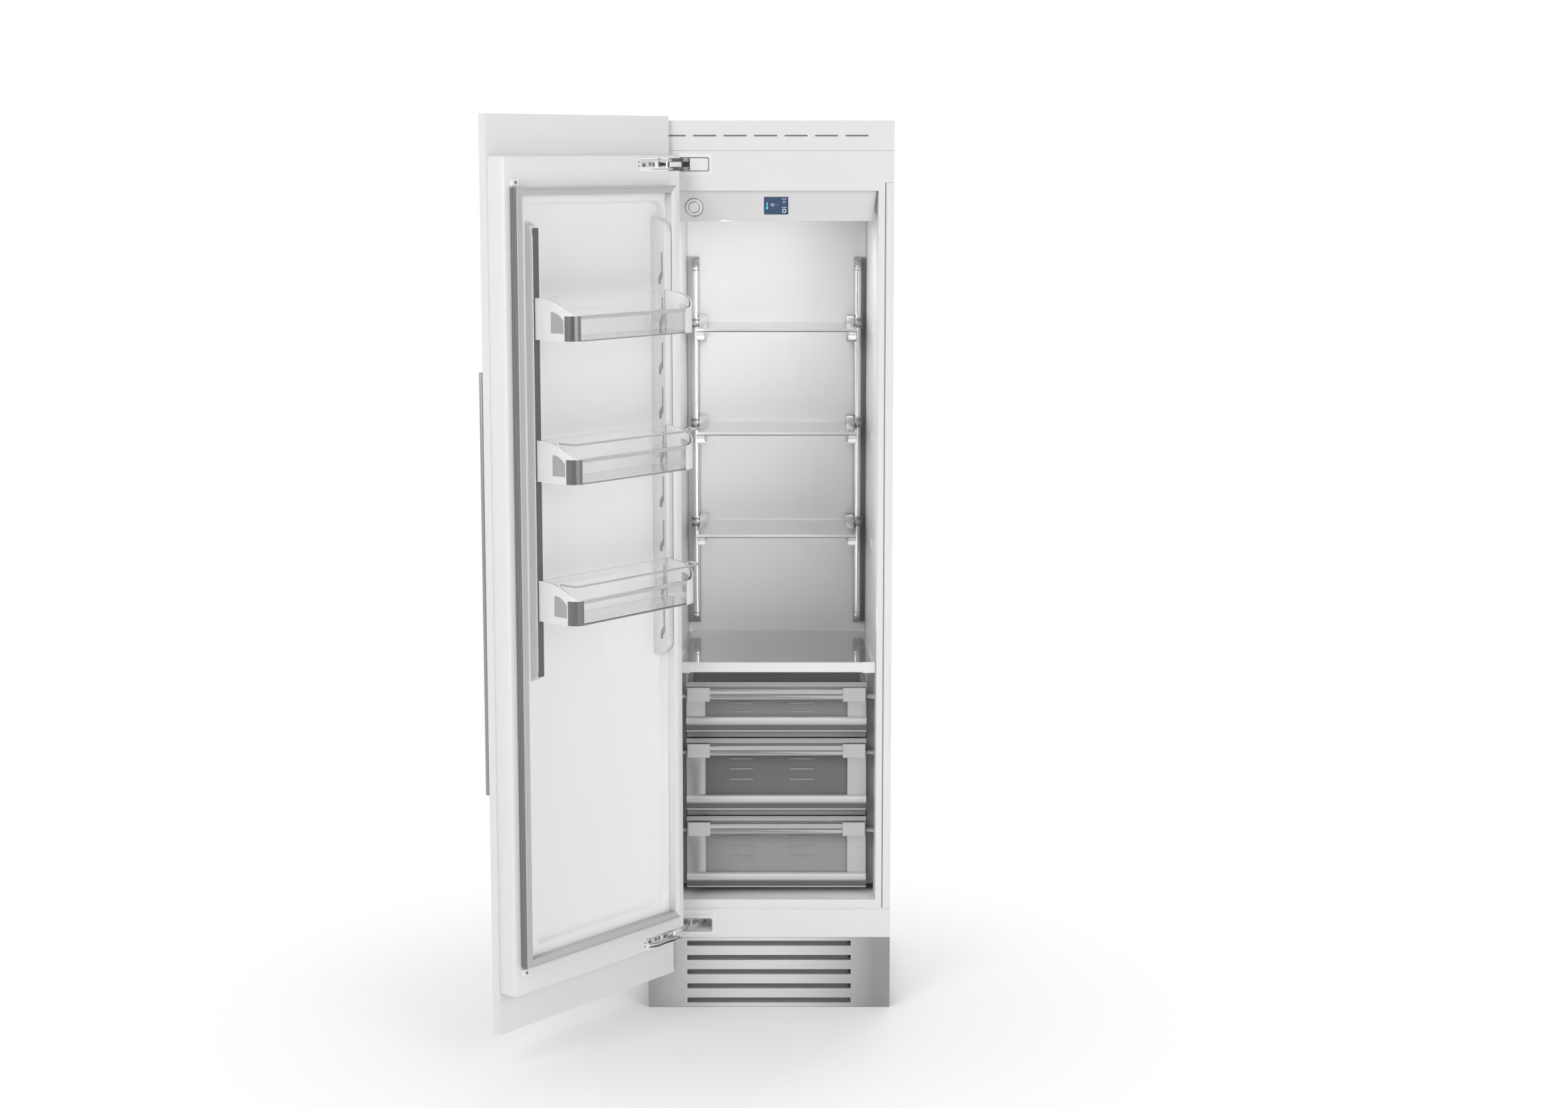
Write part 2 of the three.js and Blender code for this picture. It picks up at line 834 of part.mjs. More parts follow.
function addToeKick(cabinet) {
  const bottom = toeKickClearance;
  const shell = block(-cabinetHalf, cabinetHalf, 0, frontSkinDepth, bottom, toeKickHeight);
  const innerHalf = cabinetHalf - toeKickSheet;
  const hollow = block(
    -innerHalf,
    innerHalf,
    toeKickSheet,
    frontSkinDepth + overrun,
    bottom - overrun,
    toeKickHeight + overrun,
  );
  const half = toeSlotLength / 2;
  const slots = [];
  const shelves = [];
  for (let k = 0; k < toeSlotCount; k += 1) {
    const top = toeKickHeight - toeSlotDrop - k * toeSlotPitch;
    const low = top - toeSlotHeight;
    slots.push(block(-half, half, -overrun, toeKickSheet + overrun, low, top));
    const ledge = shapeOf([
      [toeKickSheet / 2, low - toeKickSheet],
      [toeShelfDepth, low - toeKickSheet],
      [toeShelfDepth, low + toeKickSheet],
      [toeShelfDepth - toeKickSheet, low + toeKickSheet],
      [toeShelfDepth - toeKickSheet, low],
      [toeKickSheet / 2, low],
    ]);
    shelves.push(prism("x", ledge, -half - toeKickSheet, half + toeKickSheet));
  }
  const grille = join(cut(shell, hollow, slots), shelves);
  mesh(cabinet, "toe_kick_grille", grille, materials.steel);
}

// The header's cross-section in (y, z), with its sloping face to the front.
function headerSection(inset) {
  const top = openingTop - fitGap;
  const bottom = openingTop - headerFaceHeight;
  return shapeOf([
    [headerFaceTopDepth + inset, top + inset * 2],
    [headerFaceBottomDepth + inset, bottom + inset],
    [headerFaceBottomDepth + headerReach - inset, bottom + headerRearHeight + inset],
    [headerFaceBottomDepth + headerReach - inset, top + inset * 2],
  ]);
}

function headerPoint(drop) {
  const share = drop / headerFaceHeight;
  const y = headerFaceTopDepth + (headerFaceBottomDepth - headerFaceTopDepth) * share;
  return [y, openingTop - drop];
}

// A plate set square into the header's sloping face, between two drops below the ceiling.
function headerPlate(x0, x1, drop0, drop1, depth, proud) {
  const [y0, z0] = headerPoint(drop0);
  const [y1, z1] = headerPoint(drop1);
  const run = Math.hypot(y1 - y0, z1 - z0);
  const inY = (z0 - z1) / run;
  const inZ = (y1 - y0) / run;
  const section = shapeOf([
    [y0 - inY * proud, z0 - inZ * proud],
    [y1 - inY * proud, z1 - inZ * proud],
    [y1 + inY * depth, z1 + inZ * depth],
    [y0 + inY * depth, z0 + inZ * depth],
  ]);
  return prism("x", section, x0, x1);
}

function displayBounds(gap) {
  const left = compartmentCentre - displayWidth / 2 - gap;
  const right = compartmentCentre + displayWidth / 2 + gap;
  return [left, right, displayDrop - gap, displayDrop + displayHeight + gap];
}

function addHeader(cabinet) {
  const c = compartmentCentre;
  const half = openingHalf - headerEndInset;
  const headerBack = headerFaceBottomDepth + headerReach;
  const between = prism(
    "z",
    compartmentPlan(-headerEndInset, 0, headerBack),
    openingTop - headerFaceHeight - overrun,
    openingTop + overrun,
  );
  const body = prism("x", headerSection(0), c - half, c + half).intersect(between);
  const hollow = prism("x", headerSection(headerWall), c - half, c + half);
  const ends = [-1, 1].map((side) => {
    const slant = shapeOf([
      [c + side * (half + overrun), openingTop + overrun],
      [c + side * half, openingTop],
      [c + side * (half - headerEndSlant), openingTop - headerFaceHeight],
      [c + side * (half - headerEndSlant), openingTop - headerFaceHeight - overrun],
      [c + side * (half + overrun), openingTop - headerFaceHeight - overrun],
    ]);
    return prism("y", slant, -overrun, headerBack + overrun);
  });
  const [left, right, high, low] = displayBounds(fitGap);
  const window = headerPlate(left, right, high, low, displayGlass + fitGap, overrun);
  const cable = headerPlate(
    left + displayWidth / 4,
    right - displayWidth / 4,
    high + displayHeight / 4,
    low - displayHeight / 4,
    headerWall + overrun,
    overrun,
  );
  const lampFront = headerFaceBottomDepth + lampSetBack;
  const lampCut = block(
    c - lampWidth / 2 - fitGap,
    c + lampWidth / 2 + fitGap,
    lampFront - fitGap,
    lampFront + lampDepth + fitGap,
    openingTop - headerFaceHeight - overrun,
    openingTop - headerRearHeight / 2,
  );
  const header = cut(body, hollow, ends, window, cable, lampCut);
  mesh(cabinet, "control_header", header, materials.whitePlastic);

  const [dl, dr, dh, dlow] = displayBounds(0);
  const display = headerPlate(dl, dr, dh, dlow, displayGlass, fitGap);
  mesh(cabinet, "display_panel", display, materials.display);

  const undersideSlope = headerRearHeight / headerReach;
  const undersideAt = (y) =>
    openingTop - headerFaceHeight + (y - headerFaceBottomDepth) * undersideSlope;
  const lampBack = lampFront + lampDepth;
  const lens = shapeOf([
    [lampFront, undersideAt(lampFront)],
    [lampBack, undersideAt(lampBack)],
    [lampBack, undersideAt(lampBack) + lampThickness],
    [lampFront, undersideAt(lampFront) + lampThickness],
  ]);
  const lamp = prism("x", lens, c - lampWidth / 2, c + lampWidth / 2);
  mesh(cabinet, "ceiling_light", lamp, materials.lamp);
}

function addHingeBox(cabinet, name, centre) {
  const half = hingePocketHeight / 2;
  const low = centre - half;
  const high = centre + half;
  const tub = block(recessLeft, recessRight, 0, hingeRecessDepth, low, high);
  const hollow = block(
    recessLeft + hingeBoxWall,
    recessRight - hingeBoxWall,
    -overrun,
    hingeRecessDepth - hingeBoxWall,
    low + hingeBoxWall,
    high - hingeBoxWall,
  );
  const flangeOutline = roundedRect(
    recessLeft + hingeFlangeLeft,
    recessRight + hingeFlangeWidth,
    low - hingeFlangeWidth,
    high + hingeFlangeWidth,
    hingeCornerRadius,
  );
  const flange = prism("y", flangeOutline, -hingeFlangeProud - fitGap, -fitGap);
  const neck = block(
    recessLeft + hingeFlangeLeft,
    recessRight,
    -hingeFlangeProud - fitGap,
    hingeBoxWall,
    low,
    high,
  );
  const pin = rod("z", fixedPinX, fixedPinY, hingePinRadius, low, high);
  const bracketLow = low + hingeBoxWall;
  const bracketHigh = high - hingeBoxWall;
  const bracketBack = block(
    fixedPinX - hingeEyeRadius * 2,
    fixedPinX + hingeEyeRadius * 4,
    hingeRecessDepth - hingeBoxWall * 4,
    hingeRecessDepth - hingeBoxWall / 2,
    bracketLow - hingeBoxWall / 2,
    bracketHigh + hingeBoxWall / 2,
  );
  const ear = (z0, z1) =>
    prism(
      "z",
      shapeOf([
        [fixedPinX - hingeEyeRadius, fixedPinY - hingeEyeRadius],
        [fixedPinX + hingeEyeRadius, fixedPinY - hingeEyeRadius],
        [fixedPinX + hingeEyeRadius * 4, hingeRecessDepth - hingeBoxWall / 2],
        [fixedPinX - hingeEyeRadius * 2, hingeRecessDepth - hingeBoxWall / 2],
      ]),
      z0,
      z1,
    );
  const earSheet = (hingePocketHeight - 2 * hingeBoxWall - hingeArmHeight) / 2 - fitGap;
  const ears = [
    ear(bracketLow - hingeBoxWall / 2, bracketLow + earSheet),
    ear(bracketHigh - earSheet, bracketHigh + hingeBoxWall / 2),
  ];
  const box = join(cut(join(tub, flange, neck), hollow), pin, bracketBack, ears);
  mesh(cabinet, name, box, materials.brightSteel);
}

function addFeet(cabinet) {
  const stations = {
    front_left: [-1, footFrontInset],
    front_right: [1, footFrontInset],
    rear_left: [-1, cabinetDepth - footFrontInset],
    rear_right: [1, cabinetDepth - footFrontInset],
  };
  const panBottom = casingBottom - fitGap - basePanSheet;
  for (const [name, [side, y]] of Object.entries(stations)) {
    const x = side * (cabinetHalf - footInset);
    const pad = rod("z", x, y, footRadius, 0, footPadHeight, ROUND_SEGMENTS + 2);
    const nut = rod("z", x, y, footStemRadius * 2, footPadHeight, footPadHeight + footNutHeight, 3);
    const stem = rod("z", x, y, footStemRadius, footPadHeight, panBottom - fitGap);
    mesh(cabinet, "levelling_foot_" + name, join(pad, nut, stem), materials.galvanised);
  }
}

function addBasePan(cabinet) {
  const half = cabinetHalf - casingSheet - fitGap;
  const top = casingBottom - fitGap;
  const back = cabinetDepth - casingSheet - fitGap;
  const front = frontSkinDepth + toeShelfDepth;
  const floor = block(
    -cabinetHalf + fitGap,
    cabinetHalf - fitGap,
    front,
    cabinetDepth - fitGap,
    top - basePanSheet,
    top,
  );
  const lips = [-1, 1].map((side) => {
    const outer = side * half;
    const inner = side * (half - basePanSheet);
    const [x0, x1] = [Math.min(outer, inner), Math.max(outer, inner)];
    return block(x0, x1, front, back, top - basePanSheet / 2, top + basePanLip);
  });
  mesh(cabinet, "base_pan", join(floor, lips), materials.galvanised);
}

function addCompressor(cabinet) {
  const floor = casingBottom;
  const plateTop = floor + compressorFootThickness;
  const plate = prism(
    "z",
    roundedRect(
      compressorX - compressorFootReach,
      compressorX + compressorFootReach,
      compressorY - compressorRadius,
      compressorY + compressorRadius,
      compressorFootThickness * 3,
    ),
    floor,
    plateTop,
  );
  const dome = compressorHeight / 3;
  const steps = 4;
  const profile = [new THREE.Vector2(0, 0)];
  for (let k = 0; k <= steps; k += 1) {
    const angle = -Math.PI / 2 + (Math.PI / 2) * (k / steps);
    profile.push(
      new THREE.Vector2(
        compressorRadius * (compressorFootShare + (1 - compressorFootShare) * Math.cos(angle)),
        dome / 2 + (dome / 2) * Math.sin(angle),
      ),
    );
  }
  for (let k = 0; k <= steps; k += 1) {
    const angle = (Math.PI / 2) * (k / steps);
    profile.push(
      new THREE.Vector2(
        compressorRadius * Math.cos(angle),
        compressorHeight - dome + dome * Math.sin(angle),
      ),
    );
  }
  profile[profile.length - 1].x = 0;
  const lathe = new THREE.LatheGeometry(profile, compressorSides);
  lathe.rotateX(Math.PI / 2);
  lathe.translate(compressorX, compressorY, plateTop - weldDistance * 100);
  const shell = solidOf(lathe);
  const seam = rod(
    "z",
    compressorX,
    compressorY,
    compressorRadius + compressorFootThickness / 2,
    plateTop + compressorHeight / 2 - compressorFootThickness / 2,
    plateTop + compressorHeight / 2 + compressorFootThickness / 2,
    compressorSides / 2,
  );
  mesh(cabinet, "compressor", join(plate, shell, seam), materials.black);
}

// A fin-and-tube block: fins stand along x and tubes run through them.
function coil(x0, x1, y0, y1, z0, z1, rows, columns) {
  const fins = Array.from({ length: finCount }, (_, k) => {
    const x = x0 + ((x1 - x0 - finSheet) * k) / (finCount - 1);
    return block(x, x + finSheet, y0, y1, z0, z1);
  });
  const tubes = [];
  for (let row = 0; row < rows; row += 1) {
    for (let column = 0; column < columns; column += 1) {
      const y = y0 + ((y1 - y0) * (column + 0.5)) / columns;
      const z = z0 + ((z1 - z0) * (row + 0.5)) / rows;
      tubes.push(rod("x", y, z, coilTubeRadius, x0 - coilTubeRadius, x1 + coilTubeRadius, 3));
    }
  }
  return join(tubes[0], fins, tubes.slice(1));
}

function rotor(x, y, z) {
  const hub = rod("y", x, z, fanHubRadius, y, y + fanHubLength, ROUND_SEGMENTS);
  const blades = Array.from({ length: fanBladeCount }, (_, k) => {
    const sweep = shapeOf([
      [fanHubRadius * 0.8, -fanHubRadius * 0.55],
      [fanRadius * 0.75, -fanHubRadius * 0.95],
      [fanRadius * 0.98, -fanHubRadius * 0.3],
      [fanRadius * 0.94, fanHubRadius * 0.95],
      [fanRadius * 0.6, fanHubRadius * 0.9],
      [fanHubRadius * 0.8, fanHubRadius * 0.5],
    ]);
    const blade = new THREE.ExtrudeGeometry(sweep, {
      depth: fanBladeThickness,
      bevelEnabled: false,
    });
    blade.translate(0, 0, -fanBladeThickness / 2);
    blade.rotateX(THREE.MathUtils.degToRad(fanBladePitchDegrees));
    blade.rotateZ((2 * Math.PI * k) / fanBladeCount);
    blade.applyMatrix4(ALONG.y);
    blade.translate(x, y + fanHubLength / 2, z);
    return solidOf(blade);
  });
  const bore = rod("y", x, z, fanShaftRadius + fitGap, y - overrun, y + fanBoreDepth);
  return cut(join(hub, blades), bore);
}

function addMachinery(cabinet, condenserFan, evaporatorFan) {
  const floor = casingBottom;
  const x0 = condenserX - condenserWidth / 2;
  const x1 = condenserX + condenserWidth / 2;
  const y0 = condenserY - condenserDepth / 2;
  const fins = coil(x0, x1, y0, condenserY, floor, floor + condenserHeight, 3, 1);
  const fanX = condenserX;
  const fanZ = floor + condenserHeight / 2;
  const post = block(
    fanX - fanMotorRadius / 2,
    fanX + fanMotorRadius / 2,
    condenserY - finSheet,
    condenserY + fanMotorLength,
    floor,
    fanZ,
  );
  const tie = block(
    x0,
    x1,
    condenserY - finSheet,
    condenserY + finSheet,
    floor,
    floor + finSheet * 4,
  );
  const motor = rod("y", fanX, fanZ, fanMotorRadius, condenserY, condenserY + fanMotorLength);
  const shaft = fanShaft(fanX, fanZ, condenserY, fanMotorLength + fanBoreDepth);
  mesh(cabinet, "condenser", join(fins, tie, post, motor, shaft), materials.copper);
  const rotorY = condenserY + fanMotorLength + fitGap;
  mesh(condenserFan, "condenser_fan", rotor(fanX, rotorY, fanZ), materials.black);

  const c = compartmentCentre;
  const evapBack = linerDepth - fitGap;
  const evapBottom = evaporatorBottom;
  const evaporator = coil(
    c - evaporatorWidth / 2,
    c + evaporatorWidth / 2,
    evapBack - evaporatorDepth,
    evapBack,
    evapBottom,
    evapBottom + evaporatorHeight,
    4,
    1,
  );
  mesh(cabinet, "evaporator", evaporator, materials.galvanised);
  const motorBack = ductPanelDepth + ductPanelSheet + ductMotorDepth;
  const fan = rotor(c, motorBack + fitGap, evaporatorFanCentre);
  mesh(evaporatorFan, "evaporator_fan", fan, materials.black);
}

function addCrisper(cabinet) {
  const c = compartmentCentre;
  const front = crisperFrontDepth + crisperTrimThickness / 2;
  const back = ductPanelDepth - fitGap;
  const inset = crisperSideGap;
  const plan = shapeOf([
    [c - wallHalf(front) + inset, front],
    [c + wallHalf(front) - inset, front],
    [c + wallHalf(back) - inset, back],
    [c - wallHalf(back) + inset, back],
  ]);
  const glass = prism("z", plan, crisperTop - glassThickness, crisperTop);
  mesh(cabinet, "crisper_glass", glass, materials.glass);

  const half = wallHalf(crisperFrontDepth) - inset;
  const trimBottom = crisperTop - crisperTrimHeight;
  const trimBack = crisperFrontDepth + crisperTrimThickness;
  const bar = shapeOf([
    [crisperFrontDepth, trimBottom],
    [trimBack + crisperHookDepth, trimBottom],
    [trimBack + crisperHookDepth, trimBottom + crisperCapLip],
    [trimBack, trimBottom + crisperCapLip],
    [trimBack, crisperTop + crisperCapLip],
    [crisperFrontDepth, crisperTop + crisperCapLip],
  ]);
  const run = prism("x", bar, c - half, c + half);
  const slot = block(
    c - wallHalf(0),
    c + wallHalf(0),
    front - fitGap,
    trimBack + overrun,
    crisperTop - glassThickness - fitGap,
    crisperTop + fitGap,
  );
  const ends = [-1, 1].map((side) => {
    const outer = c + side * half;
    const inner = c + side * (half - crisperCapWidth);
    return block(
      Math.min(outer, inner),
      Math.max(outer, inner),
      crisperFrontDepth - crisperCapLip,
      crisperFrontDepth + crisperCapLip,
      trimBottom - crisperCapLip,
      crisperTop + 2 * crisperCapLip,
    );
  });
  mesh(cabinet, "crisper_trim", join(cut(run, slot), ends), materials.whitePlastic);
}

function addShelfRail(cabinet, name, side) {
  const x = compartmentCentre + side * railTubeHalf;
  const top = railTop;
  const plateBack = ductPanelDepth - fitGap;
  const plateFront = plateBack - railPlateSheet;
  const outer = compartmentCentre + side * (wallHalf(plateBack) - railPlateSideGap);
  const inner = outer - side * railPlateWidth;
  const plate = block(
    Math.min(outer, inner),
    Math.max(outer, inner),
    plateFront,
    plateBack,
    railBottom,
    top,
  );
  const upper = top - railElbowDrop;
  const lower = railBottom + railElbowDrop;
  const seat = plateFront + railPlateSheet / 2;
  const corners = [
    new THREE.Vector3(x, seat, lower - railElbowRadius),
    new THREE.Vector3(x, railTubeDepth, lower - railElbowRadius),
    new THREE.Vector3(x, railTubeDepth, upper + railElbowRadius),
    new THREE.Vector3(x, seat, upper + railElbowRadius),
  ];
  const path = bentPath(corners, [railElbowRadius, railElbowRadius]);
  const pipe = tube(path, railTubeRadius, new THREE.Vector3(1, 0, 0));
  const collars = [lower, upper].map((z) =>
    rod(
      "z",
      x,
      railTubeDepth,
      railTubeRadius + railCollarLip,
      z - railCollarHeight / 2,
      z + railCollarHeight / 2,
    ),
  );
  mesh(cabinet, name, join(plate, pipe, collars), materials.brightSteel);
}

// The glass stops short of the brackets' horns at its two back corners.
function shelfGlass(top) {
  const c = compartmentCentre;
  const front = shelfFrontDepth + shelfTrimThickness / 2;
  const notchFront = shelfBackDepth - shelfArmHornDepth - fitGap;
  const wide = shelfHalf - fitGap;
  const narrow = shelfHalf - shelfArmInset - shelfArmWidth - fitGap;
  const plan = shapeOf([
    [c - wide, front],
    [c + wide, front],
    [c + wide, notchFront],
    [c + narrow, notchFront],
    [c + narrow, shelfBackDepth],
    [c - narrow, shelfBackDepth],
    [c - narrow, notchFront],
    [c - wide, notchFront],
  ]);
  return prism("z", plan, top - glassThickness, top);
}

// A cantilever bracket: a curved arm under the glass, a horn behind it and a ring that
// clasps the upright tube.
function shelfBracket(top, side) {
  const c = compartmentCentre;
  const outer = c + side * (shelfHalf - shelfArmInset);
  const inner = outer - side * shelfArmWidth;
  const under = top - glassThickness - fitGap;
  const front = shelfFrontDepth + shelfTrimThickness;
  const hornFront = shelfBackDepth - shelfArmHornDepth;
  const arm = new THREE.Shape();
  arm.moveTo(front - shelfTrimThickness / 2, under);
  arm.lineTo(front - shelfTrimThickness / 2, under - shelfArmFrontHeight);
  arm.lineTo(front + shelfArmNose, under - shelfArmFrontHeight);
  arm.quadraticCurveTo(
    (front + hornFront) / 2,
    under - shelfArmFrontHeight,
    hornFront,
    under - shelfArmBackHeight,
  );
  arm.lineTo(shelfBackDepth, under - shelfArmBackHeight);
  arm.lineTo(shelfBackDepth, top + shelfArmHorn);
  arm.lineTo(hornFront, top + shelfArmHorn);
  arm.lineTo(hornFront, under);
  const plate = prism("x", arm, Math.min(outer, inner), Math.max(outer, inner));
  const tubeX = c + side * railTubeHalf;
  const ringOuter = railTubeRadius + fitGap + shelfClampWall;
  const low = top - shelfClampHeight / 2;
  const high = top + shelfClampHeight / 2;
  const ring = rod("z", tubeX, railTubeDepth, ringOuter, low, high);
  const tongue = block(
    Math.min(inner, tubeX),
    Math.max(inner, tubeX),
    railTubeDepth - railTubeRadius,
    railTubeDepth + railTubeRadius,
    low,
    high,
  );
  const bore = rod(
    "z",
    tubeX,
    railTubeDepth,
    railTubeRadius + fitGap,
    under - shelfArmBackHeight - overrun,
    top + shelfArmHorn + overrun,
  );
  return cut(join(plate, ring, tongue), bore);
}

function shelfFrame(top) {
  const c = compartmentCentre;
  const under = top - glassThickness - fitGap;
  const front = shelfFrontDepth;
  const lip = glassThickness / 3;
  const section = shapeOf([
    [front, top + lip],
    [front, top + lip - shelfTrimHeight],
    [front + shelfTrimThickness * 2, top + lip - shelfTrimHeight],
    [front + shelfTrimThickness * 2, under],
    [front + shelfTrimThickness / 2 - fitGap, under],
    [front + shelfTrimThickness / 2 - fitGap, top + fitGap],
    [front + shelfTrimThickness, top + fitGap],
    [front + shelfTrimThickness, top + lip],
  ]);
  const trim = prism("x", section, c - shelfHalf, c + shelfHalf);
  return join(trim, shelfBracket(top, -1), shelfBracket(top, 1));
}

function drawerFront(drawer) {
  const c = compartmentCentre;
  const { bottom, height } = drawer;
  const top = bottom + height;
  const face = drawerFrontDepth;
  const back = face + drawerFrontSheet;
  const half = drawerHalf;
  const plate = block(c - half, c + half, face, back, bottom, top - drawerTopRailSlope);
  const window = block(
    c - half + drawerPostWidth,
    c + half - drawerPostWidth,
    face - overrun,
    back + overrun,
    bottom + drawerBandHeight,
    top - drawerTopRailHeight,
  );
  const band = new THREE.Shape();
  const bulge = face - drawerBandBulge;
  band.moveTo(face + drawerFrontSheet / 2, bottom);
  band.lineTo(bulge, bottom);
  band.lineTo(bulge, bottom + drawerFrontSheet / 2);
  band.lineTo(bulge + drawerFrontSheet / 4, bottom + drawerFrontSheet / 2);
  const crest = bottom + drawerBandHeight * drawerBandCrestShare;
  band.quadraticCurveTo(bulge, bottom + drawerBandHeight / 2, bulge, crest);
  band.quadraticCurveTo(bulge, bottom + drawerBandHeight, face, bottom + drawerBandHeight);
  band.lineTo(face + drawerFrontSheet / 2, bottom + drawerBandHeight);
  const roll = prism("x", band, c - half, c + half, 4);
  const cap = shapeOf([
    [face, top - drawerTopRailHeight],
    [back, top - drawerTopRailHeight],
    [back, top],
    [back - drawerFrontSheet / 2, top],
    [face - drawerBandBulge / 3, top - drawerTopRailSlope],
    [face, top - drawerTopRailSlope - drawerFrontSheet / 2],
  ]);
  const rail = prism("x", cap, c - half, c + half);
  return join(cut(plate, window), roll, rail);
}

function drawerHandle(drawer) {
  const c = compartmentCentre;
  const top = drawer.bottom + drawer.height;
  const face = drawerFrontDepth - fitGap;
  const front = drawerFrontDepth - handleReach;
  const barTop = top - handleDrop;
  const barLow = barTop - handleHeight;
  const bar = new THREE.Shape();
  const lip = handleThickness / 4;
  bar.moveTo(front + lip, barTop);
  bar.lineTo(front, barTop - lip);
  bar.lineTo(front + handleCrease, (barTop + barLow) / 2);
  bar.lineTo(front, barLow + lip);
  bar.lineTo(front + lip, barLow);
  bar.lineTo(front + handleThickness, barLow);
  bar.lineTo(front + handleThickness, barTop);
  const half = drawerHalf - handleBlockTaper - handleBlockWidth;
  const grip = prism("x", bar, c - half - handleBlockWrap, c + half + handleBlockWrap);
  const blockTop = top - handleBlockDrop;
  const blockLow = blockTop - handleBlockHeight;
  const slopeTop = top - drawerTopRailSlope - drawerFrontSheet;
  const blocks = [-1, 1].map((side) => {
    const outline = shapeOf([
      [c + side * half, front - handleBlockWrap],
      [c + side * (half + handleBlockWidth), front - handleBlockWrap],
      [c + side * (half + handleBlockWidth + handleBlockTaper), face],
      [c + side * half, face],
    ]);
    const body = prism("z", outline, blockLow, blockTop);
    const bevel = shapeOf([
      [front - handleBlockWrap - overrun, blockTop + overrun],
      [front - handleBlockWrap - overrun, blockTop],
      [front + lip, blockTop],
      [face + overrun, slopeTop - overrun * ((blockTop - slopeTop) / (face - front))],
      [face + overrun, blockTop + overrun],
    ]);
    const width = handleBlockWidth + handleBlockTaper;
    const x0 = c + side * (half + width / 2) - width;
    return cut(body, prism("x", bevel, x0, x0 + 2 * width));
  });
  return join(grip, blocks);
}

function drawerBin(drawer) {
  const c = compartmentCentre;
  const front = drawerBinFront;
  const back = drawerBinBack;
  const low = drawer.bottom + drawerBinRise;
  const rim = rimBottom(drawer);
  const high = rim + drawerRimThickness;
  const half = drawerBinHalf;
  const foot = half - drawerBinTaper;
  const outline = (inset, z) => [
    [c - half + inset, front + inset, z],
    [c + half - inset, front + inset, z],
    [c + half - inset, back - inset, z],
    [c - half + inset, back - inset, z],
  ];
  const lowOutline = (inset, z) => [
    [c - foot + inset, front + inset, z],
    [c + foot - inset, front + inset, z],
    [c + foot - inset, back - drawerBinTaper - inset, z],
    [c - foot + inset, back - drawerBinTaper - inset, z],
  ];
  const shell = loft([lowOutline(0, low), outline(0, high)]);
  const hollow = loft([
    lowOutline(drawerBinWall, low + drawerBinWall),
    outline(drawerBinWall, high),
    outline(drawerBinWall, high + overrun),
  ]);
  const rims = [-1, 1].map((side) => {
    const inner = c + side * (half - drawerBinWall / 2);
    const outer = c + side * (half + drawerRimWidth);
    const [x0, x1] = [Math.min(inner, outer), Math.max(inner, outer)];
    return block(x0, x1, front, back - drawerBinTaper, rim, high);
  });
  return join(cut(shell, hollow), rims);
}

// The door's body: a tray of thin sheet whose inner edges are rounded, with an opening for
// the liner and a pocket for each hinge.
function bodyOutline(inset, radius, y) {
  const shape = roundedRect(
    doorX(bodyInsetHinge) + inset,
    doorX(panelWidth - bodyInsetFree) - inset,
    bodyBottom + inset,
    bodyTop - inset,
    radius,
  );
  return shape.extractPoints(ARC_SEGMENTS).shape.map((p) => [p.x, y, p.y]);
}

function roundedBody(inset) {
  const back = doorY(0) + fitGap + inset;
  const face = doorY(bodyThickness) - inset;
  const r = bodyEdgeRadius - inset;
  const rings = [bodyOutline(inset, r, back)];
  for (let k = 0; k <= ARC_SEGMENTS; k += 1) {
    const angle = (Math.PI / 2) * (k / ARC_SEGMENTS);
    const rolled = inset + r * (1 - Math.cos(angle)) * ROLL_SHARE;
    rings.push(bodyOutline(rolled, r, face - r + r * Math.sin(angle)));
  }
  return loft(rings);
}

function doorPocketCutter(centre, gap) {
  const half = hingePocketHeight / 2 + gap;
  return block(
    doorX(bodyInsetHinge) - overrun,
    doorX(bodyInsetHinge) + doorPocketLength + gap,
    doorY(bodyThickness - doorPocketDepth) - gap,
    doorY(bodyThickness) + overrun,
    centre - half,
    centre + half,
  );
}

function doorPocketCuts(gap) {
  return Object.values(hingeCentres).map((centre) => doorPocketCutter(centre, gap));
}

function linerBounds(gap) {
  return [
    doorX(gasketOuterHinge + gasketSeat) - gap,
    doorX(gasketOuterFree - gasketSeat) + gap,
    gasketBottom + gasketSeat - gap,
    gasketTop - gasketSeat + gap,
  ];
}

function addDoorBody(door) {
  const whole = roundedBody(0);
  const hollow = roundedBody(bodySheet);
  const [left, right, low, high] = linerBounds(fitGap);
  const mouth = block(left, right, doorY(bodyThickness / 2), doorY(bodyThickness) + overrun, low, high);
  const shell = cut(whole, hollow, mouth, doorPocketCuts(fitGap));
  mesh(door, "door_shell", shell, materials.white);

  const core = roundedBody(bodySheet + fitGap);
  const dish = pocketSolid(linerLipSheet + fitGap, overrun);
  const face = doorY(bodyThickness);
  const lipRoom = block(left, right, face - linerLipSheet - fitGap, face, low, high);
  const foam = cut(core, dish, lipRoom, doorPocketCuts(fitGap));
  mesh(door, "door_foam", foam, materials.foam);
}

function pocketRing(grow, w) {
  const shape = roundedRect(
    doorX(pocketSideInset) - grow,
    doorX(pocketFree) + grow,
    pocketBottom - grow,
    pocketTop + grow,
    pocketCorner + grow,
  );
  return shape.extractPoints(ARC_SEGMENTS).shape.map((p) => [p.x, doorY(w), p.y]);
}

// The dish in the door's inner face, grown by an offset and run out past the face.
function pocketSolid(grow, past) {
  const floor = bodyThickness - pocketDepth - grow;
  return loft([pocketRing(grow, floor), pocketRing(grow, bodyThickness + past)]);
}

